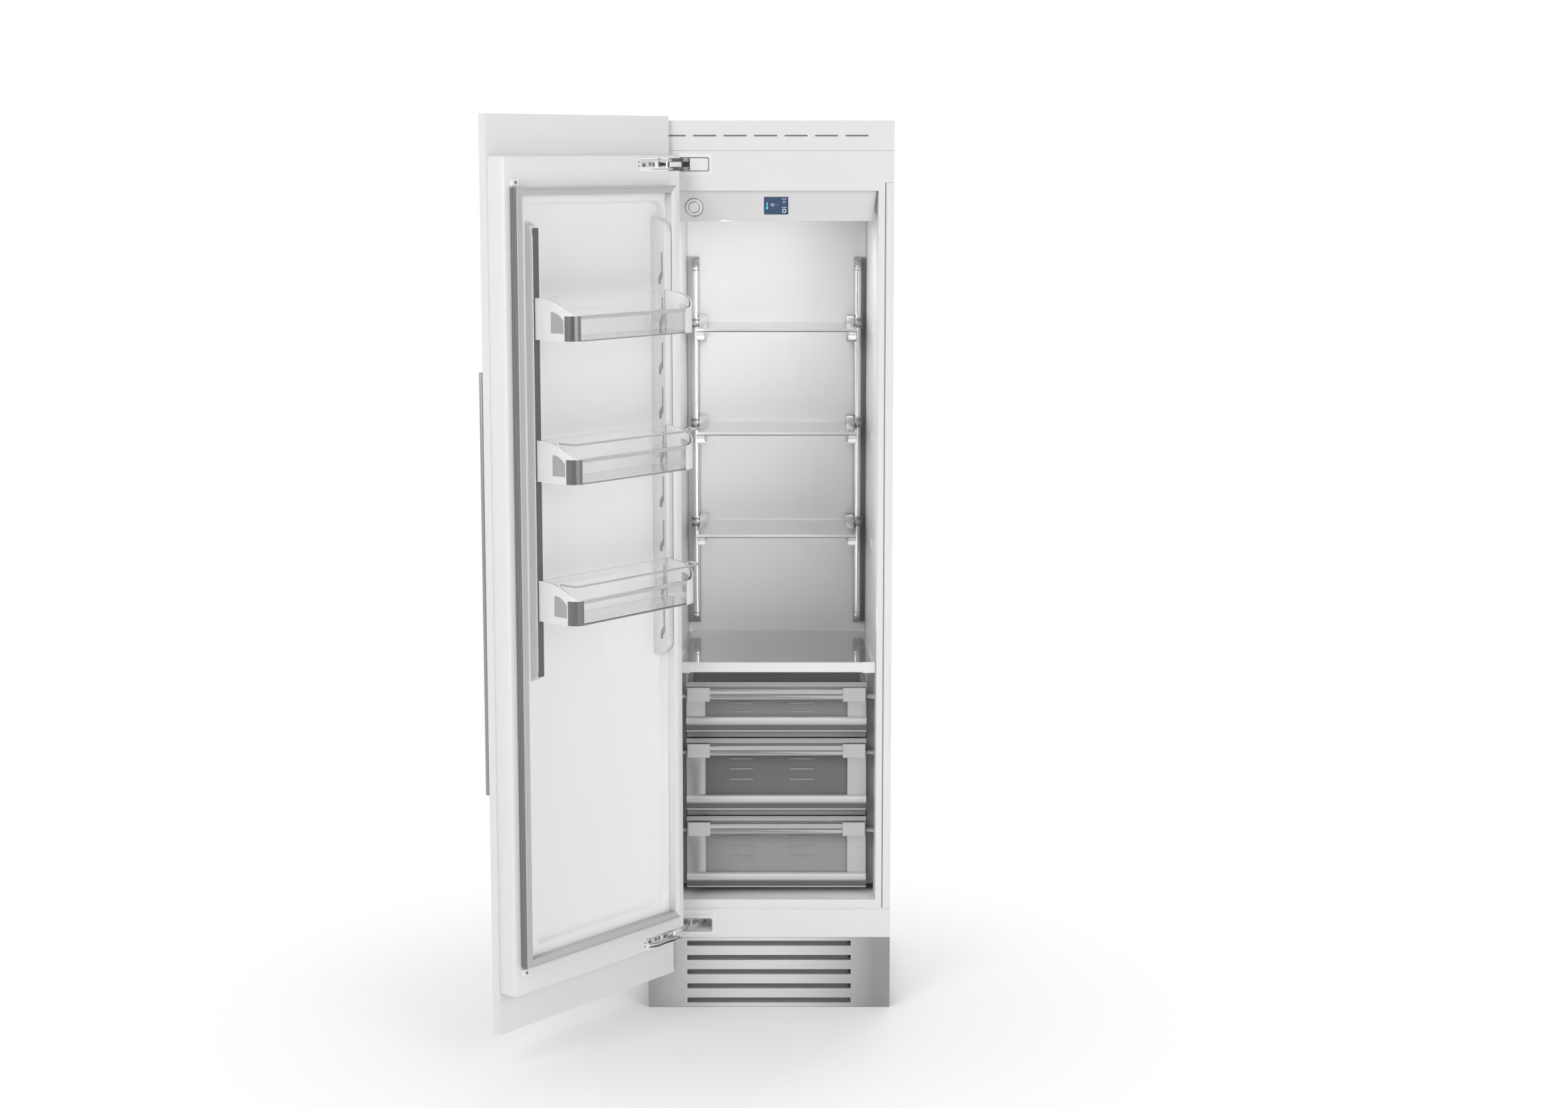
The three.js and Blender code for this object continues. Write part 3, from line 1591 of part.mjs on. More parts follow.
function addDoorLiner(door) {
  const [left, right, low, high] = linerBounds(0);
  const lip = block(
    left,
    right,
    doorY(bodyThickness - linerLipSheet),
    doorY(bodyThickness),
    low,
    high,
  );
  const bowl = pocketSolid(linerLipSheet, 0);
  const hollow = pocketSolid(0, overrun);
  mesh(door, "door_liner", cut(join(lip, bowl), hollow), materials.whitePlastic);
}

// The gasket is a magnetic strip on a narrow neck, run round the door as one ring.
function gasketRing(inset0, inset1, w0, w1) {
  const ring = (inset, w) => [
    [doorX(gasketOuterHinge) + inset, doorY(w), gasketBottom + inset],
    [doorX(gasketOuterFree) - inset, doorY(w), gasketBottom + inset],
    [doorX(gasketOuterFree) - inset, doorY(w), gasketTop - inset],
    [doorX(gasketOuterHinge) + inset, doorY(w), gasketTop - inset],
  ];
  const outer = loft([ring(inset0, w0), ring(inset0, w1)]);
  const inner = loft([ring(inset1, w0 - overrun), ring(inset1, w1 + overrun)]);
  return cut(outer, inner);
}

function addGasket(door) {
  const base = bodyThickness + fitGap;
  const tip = base + gasketHeight;
  const neckLow = base + gasketNeckRise;
  const neckHigh = neckLow + gasketNeckHeight;
  const foot = gasketRing(0, gasketFaceWidth, base, neckLow);
  const neck = gasketRing(gasketWaist, gasketFaceWidth - gasketWaist, neckLow, neckHigh);
  const face = gasketRing(0, gasketFaceWidth, neckHigh, tip);
  mesh(door, "door_gasket", join(foot, neck, face), materials.gasket);
}

function addDoorPanel(door) {
  const panel = block(
    doorX(0),
    doorX(panelWidth),
    doorY(-panelThickness),
    doorY(0),
    panelBottom,
    panelTop,
  );
  mesh(door, "door_panel", panel, materials.white);

  const right = doorX(panelWidth - doorHandleFreeInset);
  const left = right - doorHandleWidth;
  const outer = doorY(-panelThickness - doorHandleReach);
  const top = doorHandleBottom + doorHandleLength;
  const grip = prism(
    "z",
    roundedRect(left, right, outer, outer + doorHandleThickness, doorHandleCorner),
    doorHandleBottom,
    top,
    2,
  );
  const posts = [doorHandleBottom + doorHandlePostInset, top - doorHandlePostInset].map((z) =>
    rod(
      "y",
      (left + right) / 2,
      z,
      doorHandlePostRadius,
      outer + doorHandleThickness / 2,
      doorY(-panelThickness) - fitGap,
    ),
  );
  mesh(door, "door_handle", join(grip, posts), materials.brightSteel);
}

function addHingeCup(door, name, centre) {
  const half = hingePocketHeight / 2;
  const left = doorX(bodyInsetHinge) + bodySheet;
  const right = doorX(bodyInsetHinge) + doorPocketLength;
  const floor = doorY(bodyThickness - doorPocketDepth);
  const face = doorY(bodyThickness);
  const tub = block(left, right, floor, face, centre - half, centre + half);
  const hollow = block(
    left - overrun,
    right - hingeBoxWall,
    floor + hingeBoxWall,
    face + overrun,
    centre - half + hingeBoxWall,
    centre + half - hingeBoxWall,
  );
  const pin = rod("z", doorPinX, doorPinY, hingePinRadius, centre - half, centre + half);
  const slider = block(
    doorPinX + hingeEyeRadius * 3,
    right - hingeBoxWall * 4,
    floor + hingeBoxWall / 2,
    floor + doorPocketDepth / 2,
    centre - half + hingeBoxWall / 2,
    centre - hingeArmHeight / 2,
  );
  const guide = block(
    doorPinX + hingeEyeRadius * 5,
    right - hingeBoxWall * 10,
    floor + hingeBoxWall / 2,
    floor + doorPocketDepth / 3,
    centre - half + hingeBoxWall / 2,
    centre + half - hingeBoxWall / 2,
  );
  mesh(door, name, join(cut(tub, hollow), pin, slider, guide), materials.brightSteel);
}

function hingeArm(centre) {
  const half = hingeArmHeight / 2;
  const low = centre - half + fitGap;
  const high = centre + half - fitGap;
  const eyes = [
    rod("z", fixedPinX, fixedPinY, hingeEyeRadius, low, high),
    rod("z", doorPinX, doorPinY, hingeEyeRadius, low, high),
  ];
  const run = new THREE.Vector2(doorPinX - fixedPinX, doorPinY - fixedPinY);
  const across = new THREE.Vector2(-run.y, run.x).normalize().multiplyScalar(hingeArmWaist);
  const waist = shapeOf([
    [fixedPinX + across.x, fixedPinY + across.y],
    [fixedPinX - across.x, fixedPinY - across.y],
    [doorPinX - across.x, doorPinY - across.y],
    [doorPinX + across.x, doorPinY + across.y],
  ]);
  const bores = [
    rod("z", fixedPinX, fixedPinY, hingePinRadius + fitGap, low - overrun, high + overrun),
    rod("z", doorPinX, doorPinY, hingePinRadius + fitGap, low - overrun, high + overrun),
  ];
  return cut(join(prism("z", waist, low, high), eyes), bores);
}

// A bin rail: a deep bar with rounded ends and a row of hook slots in its inner side.
function binRail(side) {
  const outer = side < 0 ? pocketSideInset + fitGap : pocketFree - fitGap;
  const inner = outer - side * binRailWidth;
  const floor = bodyThickness - pocketDepth + fitGap;
  const top = binRailTop;
  const profile = new THREE.Shape();
  const r = binRailCorner;
  profile.moveTo(doorY(floor), binRailBottom);
  profile.lineTo(doorY(binRailFront) - r, binRailBottom);
  profile.absarc(doorY(binRailFront) - r, binRailBottom + r, r, -Math.PI / 2, 0);
  profile.lineTo(doorY(binRailFront), top - r);
  profile.absarc(doorY(binRailFront) - r, top - r, r, 0, Math.PI / 2);
  profile.lineTo(doorY(floor), top);
  const bar = prism("x", profile, doorX(Math.min(outer, inner)), doorX(Math.max(outer, inner)));
  const slots = Array.from({ length: hookCount }, (_, k) => {
    const z = top - binRailLength * hookFirstShare - k * hookPitch;
    const w = (floor + binRailFront) / 2;
    const slot = shapeOf([
      [doorY(w), z],
      [doorY(w + hookSlotWidth), z],
      [doorY(w + hookSlotWidth), z + hookSlotHeight * hookBendShare],
      [doorY(w + hookSlotReach), z + hookSlotHeight],
      [doorY(w + hookSlotReach - hookSlotWidth), z + hookSlotHeight * hookTipShare],
      [doorY(w), z + hookSlotHeight * hookBackShare],
    ]);
    const face = doorX(inner);
    const deep = doorX(inner + side * hookSlotDepth);
    const past = doorX(inner - side * overrun);
    return prism("x", slot, Math.min(past, deep, face), Math.max(past, deep, face));
  });
  return cut(bar, slots);
}

// A bin's end outline in (y, z): tall at the back, then an S-curve down to the front.
function binEnd(back, front, low, backTop, frontTop) {
  const shape = new THREE.Shape();
  shape.moveTo(doorY(back), low);
  shape.lineTo(doorY(front), low);
  shape.lineTo(doorY(front), frontTop);
  shape.curves.push(binShoulder(back, front, backTop, frontTop));
  shape.currentPoint.set(doorY(back + binShoulderBack), backTop);
  shape.lineTo(doorY(back), backTop);
  return shape;
}

function binShoulder(back, front, backTop, frontTop) {
  return new THREE.CubicBezierCurve(
    new THREE.Vector2(doorY(front), frontTop),
    new THREE.Vector2(doorY(front - binShoulderFront), frontTop),
    new THREE.Vector2(doorY(back + binShoulderTop), backTop),
    new THREE.Vector2(doorY(back + binShoulderBack), backTop),
  );
}

// A bin's plan, open to the back, with its two front corners rounded.
function binPlan(inset, back, front) {
  const shape = new THREE.Shape();
  const hingeRadius = binHingeCorner - inset;
  const freeRadius = binFreeCorner - inset;
  const x0 = doorX(binFree - binLength) + inset;
  const x1 = doorX(binFree) - inset;
  const y0 = doorY(back);
  const y1 = doorY(front);
  shape.moveTo(x0, y0);
  shape.lineTo(x1, y0);
  shape.lineTo(x1, y1 - freeRadius);
  shape.absarc(x1 - freeRadius, y1 - freeRadius, freeRadius, 0, Math.PI / 2);
  shape.lineTo(x0 + hingeRadius, y1);
  shape.absarc(x0 + hingeRadius, y1 - hingeRadius, hingeRadius, Math.PI / 2, Math.PI);
  return shape;
}

// A wire bail that keeps bottles in: it rises from the outside of both caps, runs forward
// over them and crosses above the front bar.
function binBail(bin) {
  const { top, frontTop, back, front, free, hinge } = bin;
  const root = binShoulder(back, front, top, frontTop).getPoint(bailRootShare);
  const high = frontTop + bailRise;
  const y = doorY(front) - bailRadius;
  const corners = [
    new THREE.Vector3(doorX(hinge) + fitGap, root.x, root.y - bailSeat),
    new THREE.Vector3(doorX(hinge) + fitGap, root.x, high),
    new THREE.Vector3(doorX(hinge) + fitGap, y, high),
    new THREE.Vector3(doorX(free) - fitGap, y, high),
    new THREE.Vector3(doorX(free) - fitGap, root.x, high),
    new THREE.Vector3(doorX(free) - fitGap, root.x, root.y - bailSeat),
  ];
  const bends = [bailSeat, bailHingeBend, bailBend, bailSeat];
  const path = bentPath(corners, bends, 3);
  return tube(path, bailRadius, new THREE.Vector3(1, 0, 0), 8);
}

function binBody(index) {
  const drop = binRailLength * binTopShare + index * binPitchInHooks * hookPitch;
  const top = binRailTop - drop;
  return {
    low: top - binBackHeight,
    top,
    frontTop: top - binBackHeight + binFrontHeight,
    back: binRailFront + fitGap,
    front: binRailFront + binDepth,
    free: binFree,
    hinge: binFree - binLength,
  };
}

// The bin's steel frame: two end caps whose fronts turn inwards in a bullnose, and a bar.
function binFrame(bin, hasBail) {
  const { low, top, frontTop, back, front, free, hinge } = bin;
  const outline = binEnd(back, front, low, top, frontTop);
  const envelope = prism("x", outline, doorX(hinge), doorX(free), ROUND_SEGMENTS);
  const wall = cut(
    prism("z", binPlan(0, back, front), low, top),
    prism(
      "z",
      binPlan(binCapSheet, back - overrun, front - binCapSheet),
      low - overrun,
      top + overrun,
    ),
  );
  const gap = block(
    doorX(hinge + binHingeCorner),
    doorX(free - binFreeCorner),
    doorY(back) - overrun,
    doorY(front) + overrun,
    low - overrun,
    frontTop - binBarHeight,
  );
  const window = new THREE.Shape();
  const backEdge = doorY(back + binWindowBack);
  const frontEdge = doorY(back + binWindowFront);
  const sill = low + binWindowFloor;
  const r = binWindowCorner;
  window.moveTo(backEdge + r, sill);
  window.lineTo(frontEdge - r, sill);
  window.absarc(frontEdge - r, sill + r, r, -Math.PI / 2, 0);
  window.lineTo(frontEdge, low + binWindowFrontTop);
  window.quadraticCurveTo(
    (backEdge + 2 * frontEdge) / 3,
    low + binWindowBackTop - r / 2,
    backEdge + r,
    low + binWindowBackTop,
  );
  window.lineTo(backEdge, low + binWindowBackTop - r);
  window.lineTo(backEdge, sill + r);
  window.absarc(backEdge + r, sill + r, r, Math.PI, 1.5 * Math.PI);
  const hole = prism("x", window, doorX(hinge) - overrun, doorX(free) + overrun);
  const plateRoom = block(
    doorX(hinge) - overrun,
    doorX(hinge + binFreeCorner),
    doorY(back) - overrun,
    doorY(back + trayWall + fitGap),
    low - overrun,
    top + overrun,
  );
  const caps = cut(wall.intersect(envelope), gap, hole, plateRoom);
  const bar = block(
    doorX(hinge + binHingeCorner - binCapSheet),
    doorX(free - binFreeCorner + binCapSheet),
    doorY(front) - binBarThickness,
    doorY(front),
    frontTop - binBarHeight,
    frontTop,
  );
  return hasBail ? join(caps, bar, binBail(bin)) : join(caps, bar);
}

function binTray(bin) {
  const { low, top, frontTop, back, front, free, hinge } = bin;
  const inset = binCapSheet + fitGap;
  const trayFront = front - binBarThickness - fitGap;
  const outline = binEnd(back, trayFront, low, top - fitGap, frontTop - fitGap);
  const outside = prism("z", binPlan(inset, back, trayFront), low, top).intersect(
    prism("x", outline, doorX(hinge), doorX(free), ROUND_SEGMENTS),
  );
  const inside = prism(
    "z",
    binPlan(inset + trayWall, back + trayWall, trayFront - trayWall),
    low + trayFloor,
    top + overrun,
  );
  const plate = block(
    doorX(binPlateHingeInset),
    doorX(hinge) + inset + trayWall,
    doorY(back),
    doorY(back + trayWall),
    low,
    top - fitGap,
  );
  return join(cut(outside, inside), plate);
}

const model = new THREE.Group();
const cabinet = new THREE.Group();
const condenserFan = new THREE.Group();
const evaporatorFan = new THREE.Group();
model.add(cabinet, condenserFan, evaporatorFan);

addCasing(cabinet);
addFoam(cabinet);
addLiner(cabinet);
addDuctPanel(cabinet);
addTopFascia(cabinet);
addLowerFascia(cabinet);
addFrontFrame(cabinet);
addToeKick(cabinet);
addHeader(cabinet);
addHingeBox(cabinet, "hinge_box_top", hingeTopCentre);
addHingeBox(cabinet, "hinge_box_bottom", hingeBottomCentre);
addFeet(cabinet);
addBasePan(cabinet);
addCompressor(cabinet);
addMachinery(cabinet, condenserFan, evaporatorFan);
addCrisper(cabinet);
addShelfRail(cabinet, "shelf_rail_left", -1);
addShelfRail(cabinet, "shelf_rail_right", 1);

for (let k = 0; k < shelfCount; k += 1) {
  const shelf = new THREE.Group();
  const top = lowestShelfTop + (shelfCount - 1 - k) * shelfPitch;
  mesh(shelf, "shelf_glass_" + (k + 1), shelfGlass(top), materials.glass);
  mesh(shelf, "shelf_frame_" + (k + 1), shelfFrame(top), materials.brightSteel);
  model.add(shelf);
}

drawers.forEach((drawer, k) => {
  const group = new THREE.Group();
  mesh(group, "drawer_bin_" + (k + 1), drawerBin(drawer), materials.smoked);
  mesh(group, "drawer_front_" + (k + 1), drawerFront(drawer), materials.steel);
  mesh(group, "drawer_handle_" + (k + 1), drawerHandle(drawer), materials.steel);
  model.add(group);
});

// The arms swing about the fixed pins, and the door swings about the pins they carry.
const armTurn = THREE.MathUtils.degToRad(armOpenTurn);
const doorTurn = THREE.MathUtils.degToRad(-doorOpenTurn);
const fixedPin = new THREE.Vector3(fixedPinX, fixedPinY, 0);
const doorPin = new THREE.Vector3(doorPinX, doorPinY, 0);
const upward = new THREE.Vector3(0, 0, 1);
const doorPinOpen = doorPin.clone().sub(fixedPin).applyAxisAngle(upward, armTurn).add(fixedPin);

function swung(from, to, turn) {
  const outer = new THREE.Group();
  const inner = new THREE.Group();
  outer.position.copy(to);
  outer.rotation.z = turn;
  inner.position.copy(from).negate();
  outer.add(inner);
  model.add(outer);
  return inner;
}

const arms = swung(fixedPin, fixedPin, armTurn);
const door = swung(doorPin, doorPinOpen, doorTurn);
for (const [name, centre] of Object.entries(hingeCentres)) {
  mesh(arms, "hinge_arm_" + name, hingeArm(centre), materials.brightSteel);
  addHingeCup(door, "hinge_cup_" + name, centre);
}
addDoorPanel(door);
addDoorBody(door);
addDoorLiner(door);
addGasket(door);
mesh(door, "bin_rail_hinge", binRail(-1), materials.steel);
mesh(door, "bin_rail_free", binRail(1), materials.steel);
for (let k = 0; k < binCount; k += 1) {
  const bin = binBody(k);
  mesh(door, "bin_frame_" + (k + 1), binFrame(bin, k > 0), materials.steel);
  mesh(door, "bin_tray_" + (k + 1), binTray(bin), materials.clear);
}

// The part's own origin is on the floor, under the middle of its box.
model.updateMatrixWorld(true);
const bounds = new THREE.Box3().setFromObject(model);
const middle = bounds.getCenter(new THREE.Vector3());
model.position.set(-middle.x, -middle.y, -bounds.min.z);

const root = new THREE.Group();
root.add(model);

export default root;
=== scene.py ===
import json
import math

import bmesh
import bpy
import numpy as np
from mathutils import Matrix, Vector


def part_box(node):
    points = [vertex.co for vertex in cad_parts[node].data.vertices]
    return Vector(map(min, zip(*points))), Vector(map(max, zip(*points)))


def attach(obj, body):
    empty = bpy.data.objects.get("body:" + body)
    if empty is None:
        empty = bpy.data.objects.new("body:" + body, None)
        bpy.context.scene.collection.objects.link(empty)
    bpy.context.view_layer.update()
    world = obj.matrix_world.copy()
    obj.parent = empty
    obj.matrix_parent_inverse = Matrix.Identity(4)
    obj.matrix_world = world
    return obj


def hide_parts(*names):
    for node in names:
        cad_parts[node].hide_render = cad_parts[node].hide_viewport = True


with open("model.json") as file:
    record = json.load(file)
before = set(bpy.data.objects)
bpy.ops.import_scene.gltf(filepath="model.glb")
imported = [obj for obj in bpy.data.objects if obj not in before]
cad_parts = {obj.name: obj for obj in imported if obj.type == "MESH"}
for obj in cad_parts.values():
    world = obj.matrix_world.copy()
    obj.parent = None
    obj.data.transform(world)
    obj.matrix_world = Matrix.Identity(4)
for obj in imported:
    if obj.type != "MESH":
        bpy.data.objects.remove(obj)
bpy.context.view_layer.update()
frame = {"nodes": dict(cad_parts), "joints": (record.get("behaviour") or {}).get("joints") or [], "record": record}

# A built-in column refrigerator with its door open. Blender's lengths are in metres, in the
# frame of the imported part: X to the right, Y to the back, Z up. Shapes are worked out in
# millimetres from the middle of the cabinet's front plane at the floor, or, for what hangs on
# the door, as (u, w, z): u along the door from its hinge edge, w into the room when it is
# closed, both from the panel's inner face.
MM = 0.001

shell_low, shell_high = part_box("cabinet_shell")
front_low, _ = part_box("front_frame")
MIDDLE = (shell_low.x + shell_high.x) / 2
ORIGIN = np.array([MIDDLE, front_low.y, 0.0])
JOINT_AT = {joint["name"]: joint.get("pos_m") for joint in frame["joints"]}

# Places and sizes that the part is drawn to. The compartment's middle lies right of the
# cabinet's, and the slots of the toe kick and the upper fascia lie left of it.
COMPARTMENT = 18.3
SLOTS_MIDDLE = -6.4
OPENING_TOP = 2009.9
PANEL_HALF = 297.0
DOOR_STANDOFF = 72.0
DOOR_TURN = -152.8
ARM_TURN = 23.0
HINGE_CENTRES = {"top": 2072.5, "bottom": 211.0}
DRAWERS = {1: (687.7, 120.0), 2: (490.2, 177.0), 3: (292.7, 177.0)}
DRAWER_FACE = 62.0
DRAWER_HALF = 222.0
SHELF_TOPS = {1: 1671.0, 2: 1415.5, 3: 1160.0}
SHELF_HALF = 198.0
RAIL_TUBE_HALF = 206.2
RAIL_TUBE_Y = 406.0
RAIL_TUBE_RADIUS = 8.25
RAIL_PLATE_Y = 446.0
RAIL_LOW, RAIL_TOP = 887.7, 1836.7
BIN_TOPS = {1: 1782.5, 2: 1466.3, 3: 1150.1}
BIN_HEIGHT = 92.0
HOOK_PITCH = 105.4
HINGE_HALF_HEIGHT = 14.6

# Shader helpers


def node(tree, kind, inputs=None, **settings):
    """A shader node of this kind. An input given as a socket is linked, any other is set."""
    made = tree.nodes.new("ShaderNode" + kind)
    for name, value in settings.items():
        setattr(made, name, value)
    for name, value in (inputs or {}).items():
        if isinstance(value, bpy.types.NodeSocket):
            tree.links.new(value, made.inputs[name])
        else:
            made.inputs[name].default_value = value
    return made


def effect(name, inputs, outputs, build):
    """A node group. build gets the tree and its inputs, and gives a socket for each output."""
    tree = bpy.data.node_groups.new(name, "ShaderNodeTree")
    for label, kind, value in inputs:
        tree.interface.new_socket(label, in_out="INPUT", socket_type=kind).default_value = value
    for label, kind in outputs:
        tree.interface.new_socket(label, in_out="OUTPUT", socket_type=kind)
    given = tree.nodes.new("NodeGroupInput")
    result = tree.nodes.new("NodeGroupOutput")
    for label, socket in build(tree, given.outputs).items():
        tree.links.new(socket, result.inputs[label])
    return tree


FLOAT, VECTOR, COLOUR = "NodeSocketFloat", "NodeSocketVector", "NodeSocketColor"


def build_grain(tree, given):
    """Brushed metal: stretched noise as height, roughness and tone, under a broad painted sheen.

    The sheen is a painted reflection: a tone that falls off with the square of the distance from a line.
    """
    place = node(tree, "TexCoord").outputs["Object"]
    stretched = node(tree, "VectorMath", {0: place, 1: given["Stretch"]}, operation="MULTIPLY")
    noise = node(tree, "TexNoise", {"Vector": stretched.outputs[0], "Scale": 1.0, "Detail": 3.0})
    broad = node(tree, "TexNoise", {"Vector": place, "Scale": 5.0, "Detail": 2.0})
    both = node(tree, "Math", {0: noise.outputs["Fac"], 1: broad.outputs["Fac"]}, operation="ADD")
    centred = node(tree, "Math", {0: both.outputs[0], 1: 1.0}, operation="SUBTRACT")
    rough = node(
        tree,
        "Math",
        {0: centred.outputs[0], 1: given["Spread"], 2: given["Roughness"]},
        operation="MULTIPLY_ADD",
        use_clamp=True,
    )
    tint = node(
        tree,
        "Mix",
        {"Factor": noise.outputs["Fac"], "A": given["Dark"], "B": given["Light"]},
        data_type="RGBA",
    )
    # Painted sheen: the colour is lit along a line and goes to the edge tone away from it
    along = node(tree, "VectorMath", {0: place, 1: given["Band Axis"]}, operation="DOT_PRODUCT")
    off = node(
        tree, "Math", {0: along.outputs["Value"], 1: given["Band Place"]}, operation="SUBTRACT"
    )
    square = node(tree, "Math", {0: off.outputs[0], 1: off.outputs[0]}, operation="MULTIPLY")
    fade = node(
        tree,
        "Math",
        {0: square.outputs[0], 1: given["Band Depth"]},
        operation="MULTIPLY",
        use_clamp=True,
    )
    with_painted_sheen = node(
        tree,
        "Mix",
        {"Factor": fade.outputs[0], "A": tint.outputs["Result"], "B": given["Band Edge"]},
        data_type="RGBA",
    )
    return {
        "Roughness": rough.outputs[0],
        "Height": noise.outputs["Fac"],
        "Colour": with_painted_sheen.outputs["Result"],
    }


def build_skin(tree, given):
    """A sprayed or moulded skin: slow changes of tone, and a fine orange peel as a height."""
    place = node(tree, "TexCoord").outputs["Object"]
    slow = node(tree, "TexNoise", {"Vector": place, "Scale": 2.2, "Detail": 2.0})
    peel = node(tree, "TexNoise", {"Vector": place, "Scale": given["Peel Scale"], "Detail": 2.0})
    tint = node(
        tree,
        "Mix",
        {"Factor": slow.outputs["Fac"], "A": given["Dark"], "B": given["Light"]},
        data_type="RGBA",
    )
    centred = node(tree, "Math", {0: slow.outputs["Fac"], 1: 0.5}, operation="SUBTRACT")
    rough = node(
        tree,
        "Math",
        {0: centred.outputs[0], 1: given["Spread"], 2: given["Roughness"]},
        operation="MULTIPLY_ADD",
        use_clamp=True,
    )
    return {
        "Roughness": rough.outputs[0],
        "Height": peel.outputs["Fac"],
        "Colour": tint.outputs["Result"],
    }


FINISH_OUTPUTS = [("Roughness", FLOAT), ("Height", FLOAT), ("Colour", COLOUR)]
GRAIN = effect(
    "brushed_grain",
    [
        ("Stretch", VECTOR, (8, 8, 900)),
        ("Roughness", FLOAT, 0.3),
        ("Spread", FLOAT, 0.2),
        ("Dark", COLOUR, (0.5, 0.5, 0.5, 1)),
        ("Light", COLOUR, (0.6, 0.6, 0.6, 1)),
        ("Band Axis", VECTOR, (0, 0, 0)),
        ("Band Place", FLOAT, 0.0),
        ("Band Depth", FLOAT, 0.0),
        ("Band Edge", COLOUR, (0.5, 0.5, 0.5, 1)),
    ],
    FINISH_OUTPUTS,
    build_grain,
)
SKIN = effect(
    "painted_skin",
    [
        ("Peel Scale", FLOAT, 900.0),
        ("Roughness", FLOAT, 0.35),
        ("Spread", FLOAT, 0.1),
        ("Dark", COLOUR, (0.7, 0.7, 0.7, 1)),
        ("Light", COLOUR, (0.75, 0.75, 0.75, 1)),
    ],
    FINISH_OUTPUTS,
    build_skin,
)


def grey(level):
    """A colour with no hue."""
    return (level, level, level)


def tones(colour, swing):
    """The darker and lighter end of a colour that changes by a share of itself."""
    return (
        tuple(c * (1 - swing) for c in colour) + (1,),
        tuple(min(1.0, c * (1 + swing)) for c in colour) + (1,),
    )


def material(name, group, colour, rough, swing=0.02, spread=0.1, bump=0.02, pattern=None, **plain):
    """A finish whose colour, roughness and bump come from one effect. plain sets the shader."""
    made = bpy.data.materials.new(name)
    made.use_nodes = True
    tree = made.node_tree
    tree.nodes.clear()
    dark, light = tones(colour, swing)
    skin = node(tree, "Group", node_tree=group)
    for label, value in {
        "Roughness": rough,
        "Spread": spread,
        "Dark": dark,
        "Light": light,
        **(pattern or {}),
    }.items():
        skin.inputs[label].default_value = value
    relief = node(
        tree,
        "Bump",
        {"Height": skin.outputs["Height"], "Strength": bump, "Distance": 0.0004},
    )
    shader = node(
        tree,
        "BsdfPrincipled",
        {
            "Base Color": skin.outputs["Colour"],
            "Roughness": skin.outputs["Roughness"],
            "Normal": relief.outputs["Normal"],
            **{k.replace("_", " "): v for k, v in plain.items()},
        },
    )
    out = node(tree, "OutputMaterial")
    tree.links.new(shader.outputs[0], out.inputs["Surface"])
    return made


def clear_material(name, colour, rough, **plain):
    """A finish that is seen through: it lets the lamps through to what is behind it."""
    made = material(name, SKIN, colour, rough, spread=0.03, bump=0.004, **plain)
    tree = made.node_tree
    shader = next(n for n in tree.nodes if n.type == "BSDF_PRINCIPLED")
    out = next(n for n in tree.nodes if n.type == "OUTPUT_MATERIAL")
    pass_on = node(tree, "BsdfTransparent", {"Color": (*colour, 1)})
    path = node(tree, "LightPath")
    mixed = node(
        tree,
        "MixShader",
        {0: path.outputs["Is Shadow Ray"], 1: shader.outputs[0], 2: pass_on.outputs[0]},
    )
    tree.links.new(mixed.outputs[0], out.inputs["Surface"])
    return made


def band(axis, place, depth, edge):
    """A painted sheen on brushed metal, a band of painted light: the tone goes to edge away from its line."""
    return {
        "Band Axis": axis,
        "Band Place": place,
        "Band Depth": depth,
        "Band Edge": (*grey(edge), 1),
    }


